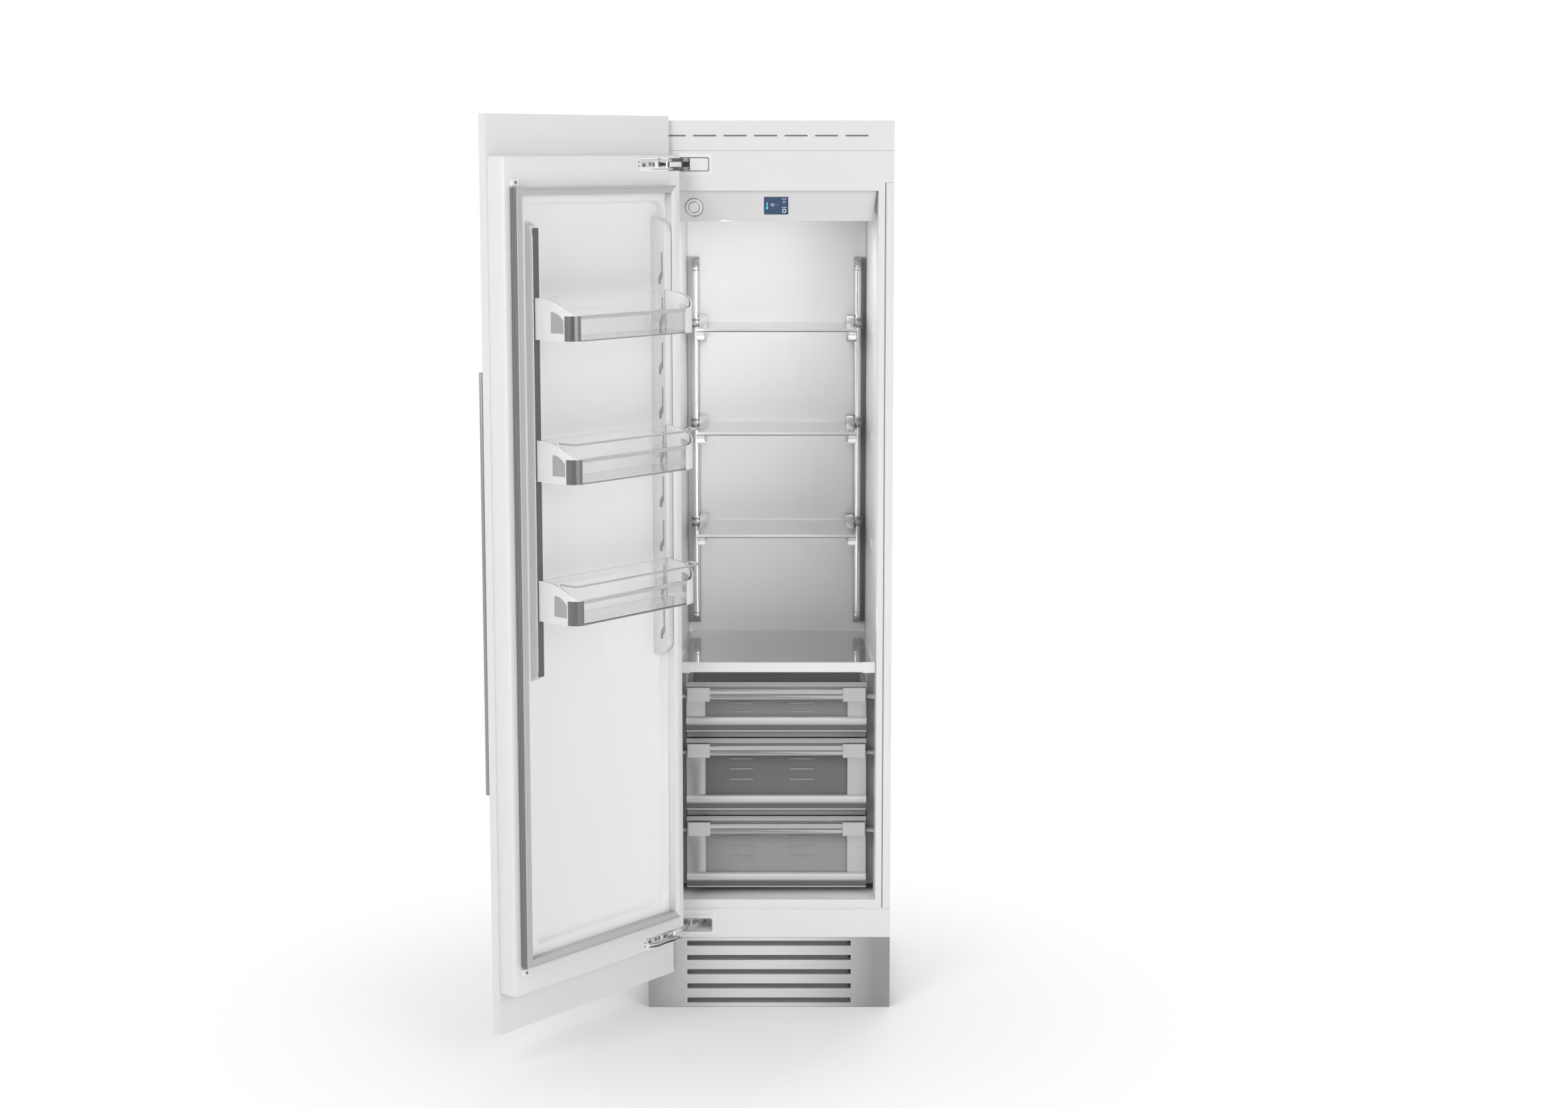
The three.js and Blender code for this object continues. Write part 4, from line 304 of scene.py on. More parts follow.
ALONG_X = {"Stretch": (6, 900, 900)}
ALONG_Z = {"Stretch": (900, 900, 6)}
WHITE = grey(0.8)
FINISH = {
    "white_enamel": material("white_enamel", SKIN, WHITE, 0.3, Coat_Weight=0.15),
    "white_panel": material("white_panel", SKIN, WHITE, 0.36, Coat_Weight=0.1),
    "white_plastic": material("white_plastic", SKIN, grey(0.83), 0.4),
    "foam": material("foam", SKIN, (0.75, 0.66, 0.42), 0.9, swing=0.08, bump=0.4),
    # The duct's colour is lighter along an upright line left of the middle and greyer away from it: a painted
    # reflection
    "duct_metal": material(
        "duct_metal", GRAIN, grey(0.93), 0.4, swing=0.02, Metallic=0.12,
        pattern={**ALONG_Z, **band((1, 0, 0), MIDDLE - 0.11, 9.0, 0.7)},
    ),
    # The steel's colour is lightest along an upright line near the middle and darker towards both ends: a painted
    # reflection
    "brushed_steel": material(
        "brushed_steel", GRAIN, grey(0.8), 0.36, Metallic=0.65,
        pattern={**ALONG_X, **band((1, 0, 0), MIDDLE - 0.03, 12.0, 0.34)},
    ),
    "drawer_metal": material(
        "drawer_metal", GRAIN, grey(0.54), 0.3, swing=0.05, Metallic=0.7, pattern=ALONG_X
    ),
    "bright_metal": material(
        "bright_metal", GRAIN, grey(0.9), 0.16, spread=0.06, Metallic=1.0, pattern=ALONG_Z
    ),
    "clear_glass": clear_material(
        "clear_glass", grey(0.88), 0.02, Transmission_Weight=1.0, IOR=1.45
    ),
    "smoked_plastic": clear_material(
        "smoked_plastic", grey(0.44), 0.25, Transmission_Weight=0.55, IOR=1.3
    ),
    # Darker and lighter copies of the smoked plastic: painted shade and painted light on the drawer windows
    "smoked_shaded": clear_material(
        "smoked_shaded", grey(0.3), 0.25, Transmission_Weight=0.5, IOR=1.3
    ),
    "smoked_lit": clear_material(
        "smoked_lit", grey(0.54), 0.25, Transmission_Weight=0.5, IOR=1.3
    ),
    "rib_light": material("rib_light", SKIN, grey(0.38), 0.35),
    # A grey that is painted shade, for the gaps beside and between the drawers and the hinge rail's slots
    "gap_shade_grey": material("gap_shade_grey", SKIN, grey(0.33), 0.4),
    # Grey for the bin caps' panes, and painted shade for the shadow gap beside the front frame
    "pane_and_gap_shade_grey": material("pane_and_gap_shade_grey", SKIN, grey(0.4), 0.25),
    "slot_shade": material("slot_shade", SKIN, grey(0.24), 0.5),
    "clear_plastic": clear_material(
        "clear_plastic", grey(0.9), 0.03, Transmission_Weight=1.0, IOR=1.3
    ),
    "display_glass": material("display_glass", SKIN, (0.012, 0.05, 0.13), 0.12, Coat_Weight=0.4),
    "lamp_lens": material(
        "lamp_lens", SKIN, grey(0.9), 0.3,
        Emission_Color=(1, 1, 1, 1), Emission_Strength=2.0,
    ),
    "gasket_rubber": material("gasket_rubber", SKIN, grey(0.5), 0.5),
    "gasket_shade": material("gasket_shade", SKIN, grey(0.15), 0.4),
    "rail_light": material(
        "rail_light", GRAIN, grey(0.78), 0.35, spread=0.06, Metallic=0.35, pattern=ALONG_Z
    ),
    "rail_metal": material(
        "rail_metal", GRAIN, grey(0.46), 0.36, spread=0.06, Metallic=0.5, pattern=ALONG_Z
    ),
    "galvanised": material("galvanised", GRAIN, (0.55, 0.56, 0.57), 0.45, swing=0.1, Metallic=0.9),
    "fin_metal": material("fin_metal", GRAIN, (0.6, 0.6, 0.59), 0.4, Metallic=0.9),
    "black_metal": material("black_metal", SKIN, (0.03, 0.03, 0.032), 0.5),
    "black_plastic": material("black_plastic", SKIN, (0.045, 0.045, 0.047), 0.55),
    # Dark metal for the bins' rounded noses: a painted dark reflection
    "nose_painted_reflection": material(
        "nose_painted_reflection", GRAIN, grey(0.2), 0.32, spread=0.03, Metallic=0.85, pattern=ALONG_Z
    ),
    "bar_metal": material(
        "bar_metal", GRAIN, grey(0.5), 0.2, spread=0.05, Metallic=0.8, pattern=ALONG_X
    ),
    "rail_shade": material(
        "rail_shade", GRAIN, grey(0.12), 0.35, spread=0.05, Metallic=0.4, pattern=ALONG_Z
    ),
    # Dark metal for the crease along each drawer handle: a painted reflection
    "stripe_painted_reflection": material(
        "stripe_painted_reflection", GRAIN, grey(0.24), 0.4, swing=0.35, Metallic=0.5,
        pattern={"Stretch": (160, 900, 900)},
    ),
    # Dark metal for the tops of the handle blocks: painted shade, darker than their fronts
    "block_top_shade": material(
        "block_top_shade", GRAIN, grey(0.2), 0.38, swing=0.06, Metallic=0.6, pattern=ALONG_X
    ),
    "dark_metal": material(
        "dark_metal", GRAIN, grey(0.3), 0.3, spread=0.06, Metallic=1.0, pattern=ALONG_Z
    ),
    "shade_grey": material("shade_grey", SKIN, grey(0.2), 0.5),
    # A white that glows: the display's lit marks, and a painted light on the liner's stop blocks
    "mark_glow_white": material(
        "mark_glow_white", SKIN, grey(0.8), 0.4,
        Emission_Color=(1, 1, 1, 1), Emission_Strength=0.25,
    ),
    "header_grey": material("header_grey", SKIN, grey(0.7), 0.36),
    "liner_white": material("liner_white", SKIN, grey(0.89), 0.38),
    "lever_metal": material(
        "lever_metal", GRAIN, grey(0.7), 0.36, spread=0.06, Metallic=0.6, pattern=ALONG_X
    ),
    "mark_cyan": material(
        "mark_cyan", SKIN, (0.1, 0.6, 0.75), 0.4,
        Emission_Color=(0.1, 0.7, 0.9, 1), Emission_Strength=0.5,
    ),
}

# Shape helpers

WELD = 2e-6
# In degrees: an edge is rounded above CREASE, and shaded sharp above the other two
CREASE, PIECE_SHARP, CAD_SHARP = 38, 35, 32
AXES = {"x": (1, 2, 0), "y": (0, 2, 1), "z": (0, 1, 2)}


def skin_of(grid, round_rows=False, caps=True):
    """Quads over rows of points. Each row is a closed loop; the first and last get caps."""
    rows, columns = grid.shape[:2]
    index = np.arange(rows * columns).reshape(rows, columns)
    if round_rows:
        index = np.vstack([index, index[:1]])
    wide = np.hstack([index, index[:, :1]])
    quads = np.stack([wide[:-1, :-1], wide[:-1, 1:], wide[1:, 1:], wide[1:, :-1]], axis=-1)
    faces = quads.reshape(-1, 4).tolist()
    if caps and not round_rows:
        faces += [index[0][::-1].tolist(), index[-1].tolist()]
    return grid.reshape(-1, 3), faces


def together(*shapes):
    """Several shapes as one: their points in a row, and the faces' numbers moved along."""
    starts = np.cumsum([0] + [len(points) for points, _ in shapes])
    faces = [[i + start for i in f] for (_, fs), start in zip(shapes, starts) for f in fs]
    return np.concatenate([points for points, _ in shapes]), faces


def bar(outline, axis, start, end):
    """A flat outline carried straight along one axis, from start to end."""
    outline = np.asarray(outline, float)
    first, second, along = AXES[axis]
    grid = np.empty((2, len(outline), 3))
    grid[..., first] = outline[:, 0]
    grid[..., second] = outline[:, 1]
    grid[..., along] = np.array([[start], [end]])
    return skin_of(grid)


def rectangle(a0, a1, b0, b1):
    """The outline of a plain rectangle."""
    return [(a0, b0), (a1, b0), (a1, b1), (a0, b1)]


def brick(x0, x1, y0, y1, z0, z1):
    """Six flat sides, the blank for a part whose edges are then rounded."""
    return bar(rectangle(x0, x1, y0, y1), "z", z0, z1)


def round_rect(a0, a1, b0, b1, radius, steps=6):
    """A rectangle whose corners are quarter circles, as a closed outline."""
    turn = np.linspace(0, math.pi / 2, steps)
    centres = [
        (a1 - radius, b1 - radius),
        (a0 + radius, b1 - radius),
        (a0 + radius, b0 + radius),
        (a1 - radius, b0 + radius),
    ]
    quarters = []
    for q, (a, b) in enumerate(centres):
        angle = turn + q * math.pi / 2
        quarters.append(np.column_stack([a + radius * np.cos(angle), b + radius * np.sin(angle)]))
    return np.concatenate(quarters)


def turned(profile, centre, axis, sides=28):
    """A profile of (radius, distance along the axis) turned once round the axis."""
    profile = np.asarray(profile, float)
    angle = np.arange(sides) * 2 * math.pi / sides
    first, second, along = AXES[axis]
    grid = np.empty((len(profile), sides, 3))
    grid[..., first] = centre[first] + profile[:, :1] * np.cos(angle)
    grid[..., second] = centre[second] + profile[:, :1] * np.sin(angle)
    grid[..., along] = centre[along] + profile[:, 1:]
    return skin_of(grid)


def hollow_ring(profile, centre, axis, sides=32):
    """A closed profile of (radius, distance along the axis) turned once round the axis."""
    points, faces = turned(profile, centre, axis, sides)
    grid = points.reshape(len(profile), sides, 3)
    return skin_of(grid, round_rows=True)


def round_frame(profile, low, high):
    """A closed profile of (inset, w) carried round a rectangle of (u, z), mitred at corners."""
    inset, height = np.asarray(profile, float).T
    inward = np.array([(1, 1), (-1, 1), (-1, -1), (1, -1)])
    corner = np.array([(low[0], low[1]), (high[0], low[1]), (high[0], high[1]), (low[0], high[1])])
    grid = np.empty((4, len(inset), 3))
    grid[..., 0] = corner[:, :1] + inward[:, :1] * inset
    grid[..., 2] = corner[:, 1:] + inward[:, 1:] * inset
    grid[..., 1] = height
    return skin_of(grid, round_rows=True)


def parabola(t, start, corner, end):
    """Points of the parabola that touches both sides of a corner at start and end."""
    return (1 - t) ** 2 * start + 2 * t * (1 - t) * corner + t**2 * end


def eased(points, reaches, steps=7):
    """A path whose inner corners are each a parabola that starts and ends its reach away."""
    points = np.asarray(points, float)
    reaches = np.broadcast_to(reaches, len(points) - 2)
    t = np.linspace(0, 1, steps)[:, None]
    parts = [points[:1]]
    for before, corner, after, reach in zip(points[:-2], points[1:-1], points[2:], reaches):
        start = corner + (before - corner) / np.linalg.norm(before - corner) * reach
        end = corner + (after - corner) / np.linalg.norm(after - corner) * reach
        parts.append(parabola(t, start, corner, end))
    return np.concatenate(parts + [points[-1:]])


def pipe(path, radius, normal, sides=14):
    """A circle of this radius carried along a path that lies square to normal."""
    path = np.asarray(path, float)
    run = np.gradient(path, axis=0)
    run /= np.linalg.norm(run, axis=1)[:, None]
    up = np.asarray(normal, float)
    side = np.cross(run, up)
    angle = np.arange(sides) * 2 * math.pi / sides
    grid = (
        path[:, None, :]
        + radius * np.cos(angle)[None, :, None] * side[:, None, :]
        + radius * np.sin(angle)[None, :, None] * up
    )
    return skin_of(grid)


def room(points):
    """Points in millimetres from the cabinet's front plane, put in the part's frame, in metres."""
    return np.asarray(points, float) * MM + ORIGIN


def swung(points, pivot, degrees):
    """Points turned about an upright line through pivot."""
    c, s = math.cos(math.radians(degrees)), math.sin(math.radians(degrees))
    x, y = points[:, 0] - pivot[0], points[:, 1] - pivot[1]
    return np.column_stack([pivot[0] + c * x - s * y, pivot[1] + s * x + c * y, points[:, 2]])


def hung(points):
    """Points (u, w, z) of the closed door, swung open with its hinge arms."""
    closed = room(np.asarray(points, float) + [-PANEL_HALF, -DOOR_STANDOFF, 0])
    on_arm = swung(closed, JOINT_AT["hinge_arm_turn"], ARM_TURN)
    return swung(on_arm, JOINT_AT["door_swing"], DOOR_TURN)


def piece(name, shape, body, slot, finish=None, place=room, angle=PIECE_SHARP, rounding=0.0,
          stands_for=()):
    """A new closed mesh on a body. Doubles are merged and its faces turned outwards."""
    points, faces = shape
    data = bpy.data.meshes.new(name)
    data.from_pydata(place(points).tolist(), [], faces)
    solid = bmesh.new()
    solid.from_mesh(data)
    bmesh.ops.remove_doubles(solid, verts=solid.verts, dist=WELD)
    bmesh.ops.recalc_face_normals(solid, faces=solid.faces)
    solid.to_mesh(data)
    solid.free()
    data.shade_smooth()
    data.set_sharp_from_angle(angle=math.radians(angle))
    data.materials.append(FINISH[finish or slot])
    made = bpy.data.objects.new(name, data)
    bpy.context.scene.collection.objects.link(made)
    if rounding:
        round_edges(made, rounding)
    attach(made, body)
    if stands_for:
        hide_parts(*stands_for)
    return made


def round_edges(made, width, segments=2):
    """Rounds each edge sharper than CREASE to this width in millimetres."""
    rounding = made.modifiers.new("rounding", "BEVEL")
    rounding.width = width * MM
    rounding.segments = segments
    rounding.limit_method = "ANGLE"
    rounding.angle_limit = math.radians(CREASE)
    rounding.harden_normals = True


SLOT_OF = {part["node"]: part["material_slot"] for part in frame["record"]["subparts"]}
BODY_OF = {n: b for b, ns in frame["record"]["behaviour"]["bodies"].items() for n in ns}


def softened(name, width, finish=None):
    """Stands for a CAD node: its triangles merged into one skin, with rounded edges."""
    shape = bmesh.new()
    shape.from_mesh(frame["nodes"][name].data)
    bmesh.ops.remove_doubles(shape, verts=shape.verts, dist=WELD)
    data = bpy.data.meshes.new(name + "_finished")
    shape.to_mesh(data)
    shape.free()
    data.shade_smooth()
    data.set_sharp_from_angle(angle=math.radians(CAD_SHARP))
    data.materials.clear()
    data.materials.append(FINISH[finish or SLOT_OF[name]])
    made = bpy.data.objects.new(name + "_finished", data)
    bpy.context.scene.collection.objects.link(made)
    round_edges(made, width)
    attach(made, BODY_OF[name])
    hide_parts(name)
    return made


ROUNDING = {
    "cabinet_shell": 0.8,
    "lower_fascia": 0.8,
    "front_frame": 1.0,
    "control_header": 2.0,
    "inner_liner": 2.0,
    "hinge_box_top": 0.5,
    "hinge_box_bottom": 0.5,
    "door_panel": 1.0,
    "door_shell": 1.2,
    "door_liner": 2.0,
    "door_handle": 1.5,
    "bin_rail_hinge": 1.5,
    "bin_rail_free": 1.5,
    "crisper_trim": 1.2,
}
for k in (1, 2, 3):
    ROUNDING.update({f"shelf_frame_{k}": 0.8, f"bin_frame_{k}": 0.8})
    ROUNDING.update({f"drawer_front_{k}": 1.0, f"drawer_handle_{k}": 1.0})
OTHER_FINISH = {f"bin_frame_{k}": "white_enamel" for k in (1, 2, 3)}
OTHER_FINISH.update({"shelf_rail_left": "rail_metal", "shelf_rail_right": "rail_metal"})
OTHER_FINISH.update({f"hinge_box_{side}": "white_plastic" for side in ("top", "bottom")})
OTHER_FINISH.update({f"bin_rail_{side}": "rail_light" for side in ("hinge", "free")})
OTHER_FINISH.update({"control_header": "header_grey", "door_liner": "liner_white"})
# The second drawer's window takes a shaded copy of the smoked plastic, the third a lit copy: painted shade and
# painted light
OTHER_FINISH.update({"drawer_bin_2": "smoked_shaded", "drawer_bin_3": "smoked_lit"})
for name, made in frame["nodes"].items():
    made.data.materials.clear()
    made.data.materials.append(FINISH[OTHER_FINISH.get(name, SLOT_OF[name])])
    if name in ROUNDING:
        softened(name, ROUNDING[name], OTHER_FINISH.get(name))

# Control header

HEADER_TOP_Y, HEADER_BOTTOM_Y, HEADER_HEIGHT = 14.0, 44.0, 72.6
HEADER_RUN = math.hypot(HEADER_BOTTOM_Y - HEADER_TOP_Y, HEADER_HEIGHT)
FACE_DOWN = np.array([0, (HEADER_BOTTOM_Y - HEADER_TOP_Y), -HEADER_HEIGHT]) / HEADER_RUN
FACE_OUT = np.array([0, -HEADER_HEIGHT, -(HEADER_BOTTOM_Y - HEADER_TOP_Y)]) / HEADER_RUN


def on_header(points):
    """Points (x, height out of the face, drop below the ceiling) laid on the sloping face."""
    points = np.asarray(points, float)
    drop = points[:, 2:] * HEADER_RUN / HEADER_HEIGHT
    top = np.array([0, HEADER_TOP_Y, OPENING_TOP])
    flat = top + drop * FACE_DOWN + points[:, 1:2] * FACE_OUT
    flat[:, 0] = points[:, 0]
    return room(flat)


BADGE = (-177.0, 0.0, 39.1)
badge_base = turned([(0, -0.5), (20.4, -0.5), (20.4, 0.5), (19.6, 0.9), (0, 0.9)], BADGE, "y", 64)
piece("badge_disc", badge_base, "cabinet", "white_plastic", place=on_header)
badge_rings = together(
    *[
        hollow_ring(
            [(r - 0.8, -0.4), (r + 0.8, -0.4), (r + 0.8, 1.2), (r, 1.8), (r - 0.8, 1.2)],
            BADGE,
            "y",
            64,
        )
        for r in (21.0, 13.2)
    ]
)
piece("badge_rings", badge_rings, "cabinet", "bright_metal", "dark_metal", place=on_header)

# The display's marks: (left, right, upper drop, lower drop) from the display's middle line
DISPLAY_MIDDLE = COMPARTMENT
DISPLAY_PROUD = 0.3
DIGITS = [
    (-11.6, -10.8, 29.6, 34.4),
    (-11.6, -8.0, 33.6, 34.4),
    (-8.8, -8.0, 29.6, 36.8),
    (-5.4, -4.6, 29.6, 36.8),
    (-14.6, -13.2, 33.0, 33.7),
    (2.6, 4.4, 33.0, 33.8),
]
COLUMN_MARKS = [
    (13.8, 24.5, 18.8, 19.6),
    (17.2, 18.0, 23.4, 29.0),
    (20.4, 21.2, 23.4, 29.0),
    (13.8, 24.5, 38.8, 39.6),
]


def strokes(places, proud):
    """Thin flat bars for the marks of a display, each a little above the glass."""
    return together(
        *[
            brick(DISPLAY_MIDDLE + a, DISPLAY_MIDDLE + b, DISPLAY_PROUD - 0.2, proud, c, d)
            for a, b, c, d in places
        ]
    )


piece("display_digits", strokes(DIGITS + COLUMN_MARKS, 0.6), "cabinet", "display_glass",
      "mark_glow_white", place=on_header)
bulb = turned([(0, 0.1), (2.3, 0.1), (2.3, 0.6), (0, 0.6)], (DISPLAY_MIDDLE - 21.5, 0, 41.0), "y")
stem = brick(DISPLAY_MIDDLE - 22.5, DISPLAY_MIDDLE - 20.5, 0.1, 0.6, 27.0, 40.0)
piece("display_thermometer", together(bulb, stem), "cabinet", "display_glass", "mark_cyan",
      place=on_header)
dial = hollow_ring([(3.4, 0.1), (4.8, 0.1), (4.8, 0.6), (3.4, 0.6)],
                   (DISPLAY_MIDDLE + 19.3, 0, 47.5), "y")
piece("display_dial", dial, "cabinet", "display_glass", "mark_glow_white", place=on_header)

# Compartment


def screw(centre, axis, radius, rise):
    """A domed screw head with a socket, turned round its axis; rise may be negative."""
    profile = [
        (0, 0),
        (radius, 0),
        (radius, rise * 0.4),
        (radius * 0.8, rise * 0.85),
        (radius * 0.5, rise),
        (radius * 0.42, rise),
        (radius * 0.36, rise * 0.5),
        (0, rise * 0.5),
    ]
    return turned(profile, centre, axis, 20)


for side, label in ((-1, "left"), (1, "right")):
    tube_x = COMPARTMENT + side * RAIL_TUBE_HALF
    upright = [(tube_x, RAIL_TUBE_Y, RAIL_LOW + 26), (tube_x, RAIL_TUBE_Y, RAIL_TOP - 26)]
    tube = pipe(upright, RAIL_TUBE_RADIUS, (1, 0, 0), 32)
    piece(f"rail_tube_{label}", tube, "cabinet", "bright_metal")
    plate_x = tube_x - side * 3
    heads = together(
        screw((plate_x, RAIL_PLATE_Y, RAIL_TOP - 10), "y", 5.5, -3.5),
        screw((plate_x, RAIL_PLATE_Y, RAIL_LOW + 10), "y", 5.5, -3.5),
    )
    piece(f"rail_screws_{label}", heads, "cabinet", "bright_metal", "dark_metal")

flange = brick(234.8, 248.4, 443, 446.5, RAIL_LOW + 3, RAIL_TOP - 3)
piece("rail_flange_right", flange, "cabinet", "bright_metal", "shade_grey", rounding=0.6)

CLAMP_INNER, CLAMP_OUTER = 11.2, 12.6
for k, top in SHELF_TOPS.items():
    rings, hooks = [], []
    for side in (-1, 1):
        tube_x = COMPARTMENT + side * RAIL_TUBE_HALF
        for z in (top + 7, top - 9):
            rings.append(
                hollow_ring(
                    [(CLAMP_INNER, z - 3.5), (CLAMP_OUTER, z - 3), (CLAMP_OUTER, z + 3),
                     (CLAMP_INNER, z + 3.5)],
                    (tube_x, RAIL_TUBE_Y, 0),
                    "z",
                )
            )
        outer = COMPARTMENT + side * (SHELF_HALF - 1.5)
        inner = COMPARTMENT + side * (SHELF_HALF - 21)
        nose = [
            (165, top - 13), (161, top - 16), (161, top - 23), (166, top - 27), (182, top - 24),
            (190, top - 14), (190, top - 13),
        ]
        hooks.append(bar(nose, "x", min(outer, inner), max(outer, inner)))
    under_trim = bar(
        rectangle(157.4, 165, top - 7.0, top - 4.6), "x",
        COMPARTMENT - SHELF_HALF, COMPARTMENT + SHELF_HALF,
    )
    piece(f"shelf_trim_line_{k}", under_trim, f"shelf_{k}", "brushed_steel", "dark_metal")
    piece(f"shelf_clamp_rings_{k}", together(*rings), f"shelf_{k}", "brushed_steel", "dark_metal")
    piece(f"shelf_hooks_{k}", together(*hooks), f"shelf_{k}", "white_plastic", rounding=1.2)

DRAWERS_LOW, DRAWERS_TOP = 290, 857
rack = brick(COMPARTMENT + 234.3, COMPARTMENT + 240.2, 90, 94, DRAWERS_LOW, DRAWERS_TOP)
piece("drawer_rack_right", rack, "cabinet", "white_plastic", rounding=0.8)
# Grey sheets in the gaps beside the drawers: painted shade
shades = together(
    *[
        brick(*sorted([COMPARTMENT + side * 223.5, COMPARTMENT + side * 240.8]), 84, 86,
              DRAWERS_LOW + 2, DRAWERS_TOP)
        for side in (-1, 1)
    ]
)
piece("drawer_side_shades", shades, "cabinet", "white_plastic", "gap_shade_grey", rounding=0.4)
# A grey strip in the shadow gap at the frame's right side: painted shade
gap_right = brick(277.0, 279.7, 2, 5, 254.5, 2104)
piece("side_gap_strip", gap_right, "cabinet", "white_plastic", "pane_and_gap_shade_grey")
gap_low = brick(-297, 297, 2, 5, 251.1, 253.9)
piece("lower_gap_strip", gap_low, "cabinet", "white_plastic")
TOE_SLOT_HALF, TOE_SLOT_PITCH = 203, 36.4
FIRST_TOE_SLOT = 178.5 - 8.4 - 12.9
toe_shades = together(
    *[
        brick(SLOTS_MIDDLE - TOE_SLOT_HALF, SLOTS_MIDDLE + TOE_SLOT_HALF, 17.3, 18.3,
              z + 0.1, z + 17.5)
        for z in FIRST_TOE_SLOT - TOE_SLOT_PITCH * np.arange(5)
    ]
)
piece("toe_slot_shades", toe_shades, "cabinet", "brushed_steel", "slot_shade")
cover_z = HINGE_CENTRES["top"]
cover = brick(-186, -141.8, 2.2, 4.0, cover_z - HINGE_HALF_HEIGHT,
              cover_z + HINGE_HALF_HEIGHT)
piece("pocket_cover_top", cover, "cabinet", "white_plastic", rounding=0.5)
# The stop blocks on the liner's wall glow a little in the white mark finish: a painted light, as they are no lamps
wall_marks = together(
    *[
        brick(COMPARTMENT + 236.2, COMPARTMENT + 238.6, 200, 204, z - 10, z + 10)
        for z in (1668, 1400, 1133)
    ]
)
piece("wall_marks", wall_marks, "cabinet", "white_plastic", "mark_glow_white")

# Drawers

BAND_HEIGHT, BAND_BULGE = 34.5, 12.0


def roll_outline(bottom):
    """The drawer's lower band in (y, z): two parabolas, upright at their shared crest."""
    t = np.linspace(0, 1, 9)[:, None]
    out = DRAWER_FACE - BAND_BULGE - 0.6
    crest = bottom + 0.62 * BAND_HEIGHT
    low, knee, high = (out + 1.2, bottom + 2.5), (out, bottom + BAND_HEIGHT / 2), (out, crest)
    lower = parabola(t, low, np.array(knee), high)
    shoulder, top = (out, bottom + BAND_HEIGHT), (DRAWER_FACE - 0.3, bottom + BAND_HEIGHT + 0.3)
    upper = parabola(t, high, np.array(shoulder), top)
    back = [(DRAWER_FACE + 1, bottom + BAND_HEIGHT), (DRAWER_FACE + 1, bottom + 2.5)]
    return np.concatenate([lower, upper[1:], back])


for k, (bottom, height) in DRAWERS.items():
    top = bottom + height
    streaks = []
    count, pitch = (2, 22) if k == 1 else (3, 26)
    for low, high in ((-115, -58), (32, 92)):
        for row in range(count):
            z = top - 52 - row * pitch
            streaks.append(
                brick(COMPARTMENT + low, COMPARTMENT + high, DRAWER_FACE + 3, DRAWER_FACE + 6.5,
                      z - 1.2, z + 1.2)
            )
    piece(f"window_ribs_{k}", together(*streaks), f"drawer_{k}", "smoked_plastic", "rib_light",
          rounding=0.4)
    # Each roll is lightest near its top edge and darker below it: a painted highlight and painted shade
    tone = f"roll_painted_sheen_{k}"
    FINISH[tone] = material(
        tone, GRAIN, grey(0.82), 0.34, swing=0.08, Metallic=0.4,
        pattern={"Stretch": (120, 900, 900),
                 **band((0, 0, 1), (bottom + BAND_HEIGHT - 4) * MM, 4200.0, 0.14)},
    )
    roll = bar(roll_outline(bottom), "x", COMPARTMENT - DRAWER_HALF, COMPARTMENT + DRAWER_HALF)
    piece(f"drawer_roll_{k}", roll, f"drawer_{k}", "drawer_metal", tone)
    lip = brick(COMPARTMENT - DRAWER_HALF, COMPARTMENT + DRAWER_HALF,
                DRAWER_FACE - BAND_BULGE - 0.8, DRAWER_FACE, bottom, bottom + 2.6)
    piece(f"drawer_lip_{k}", lip, f"drawer_{k}", "drawer_metal", "lever_metal", rounding=0.4)
    # The handle's crease is dark in its colour: a painted reflection
    middle = top - 22
    stripe = [(21.3, middle - 5), (22.3, middle), (21.3, middle + 5), (23.5, middle + 5),
              (23.5, middle - 5)]
    piece(f"handle_stripe_{k}", bar(stripe, "x", COMPARTMENT - 165, COMPARTMENT + 165),
          f"drawer_{k}", "drawer_metal", "stripe_painted_reflection")
    # The sloping tops of the handle blocks are darker in their colour than the fronts: painted shade
    slope = [(25, top - 4.6), (25, top - 3.9), (61.5, top - 14.4), (61.5, top - 15.2)]
    crowns = []
    for side in (-1, 1):
        ends = sorted([COMPARTMENT + side * 164.5, COMPARTMENT + side * 217.5])
        crowns.append(bar(slope, "x", *ends))
    piece(f"handle_block_tops_{k}", together(*crowns), f"drawer_{k}", "drawer_metal",
          "block_top_shade")
    if k < 3:
        # A grey sheet under each upper drawer: painted shade for the gap between the drawers
        under = brick(COMPARTMENT - 221, COMPARTMENT + 221, 66, 70, bottom - 18, bottom + 3)
        piece(f"bin_skirt_{k}", under, f"drawer_{k}", "smoked_plastic", "gap_shade_grey", rounding=1.0)
    posts = []
    for side in (-1, 1):
        edge = COMPARTMENT + side * (DRAWER_HALF - 46)
        posts.append(
            brick(edge - 0.7, edge + 0.7, DRAWER_FACE - 0.6, DRAWER_FACE + 1,
                  bottom + BAND_HEIGHT, top - 22)
        )
    piece(f"post_edges_{k}", together(*posts), f"drawer_{k}", "drawer_metal", rounding=0.3)

# Door

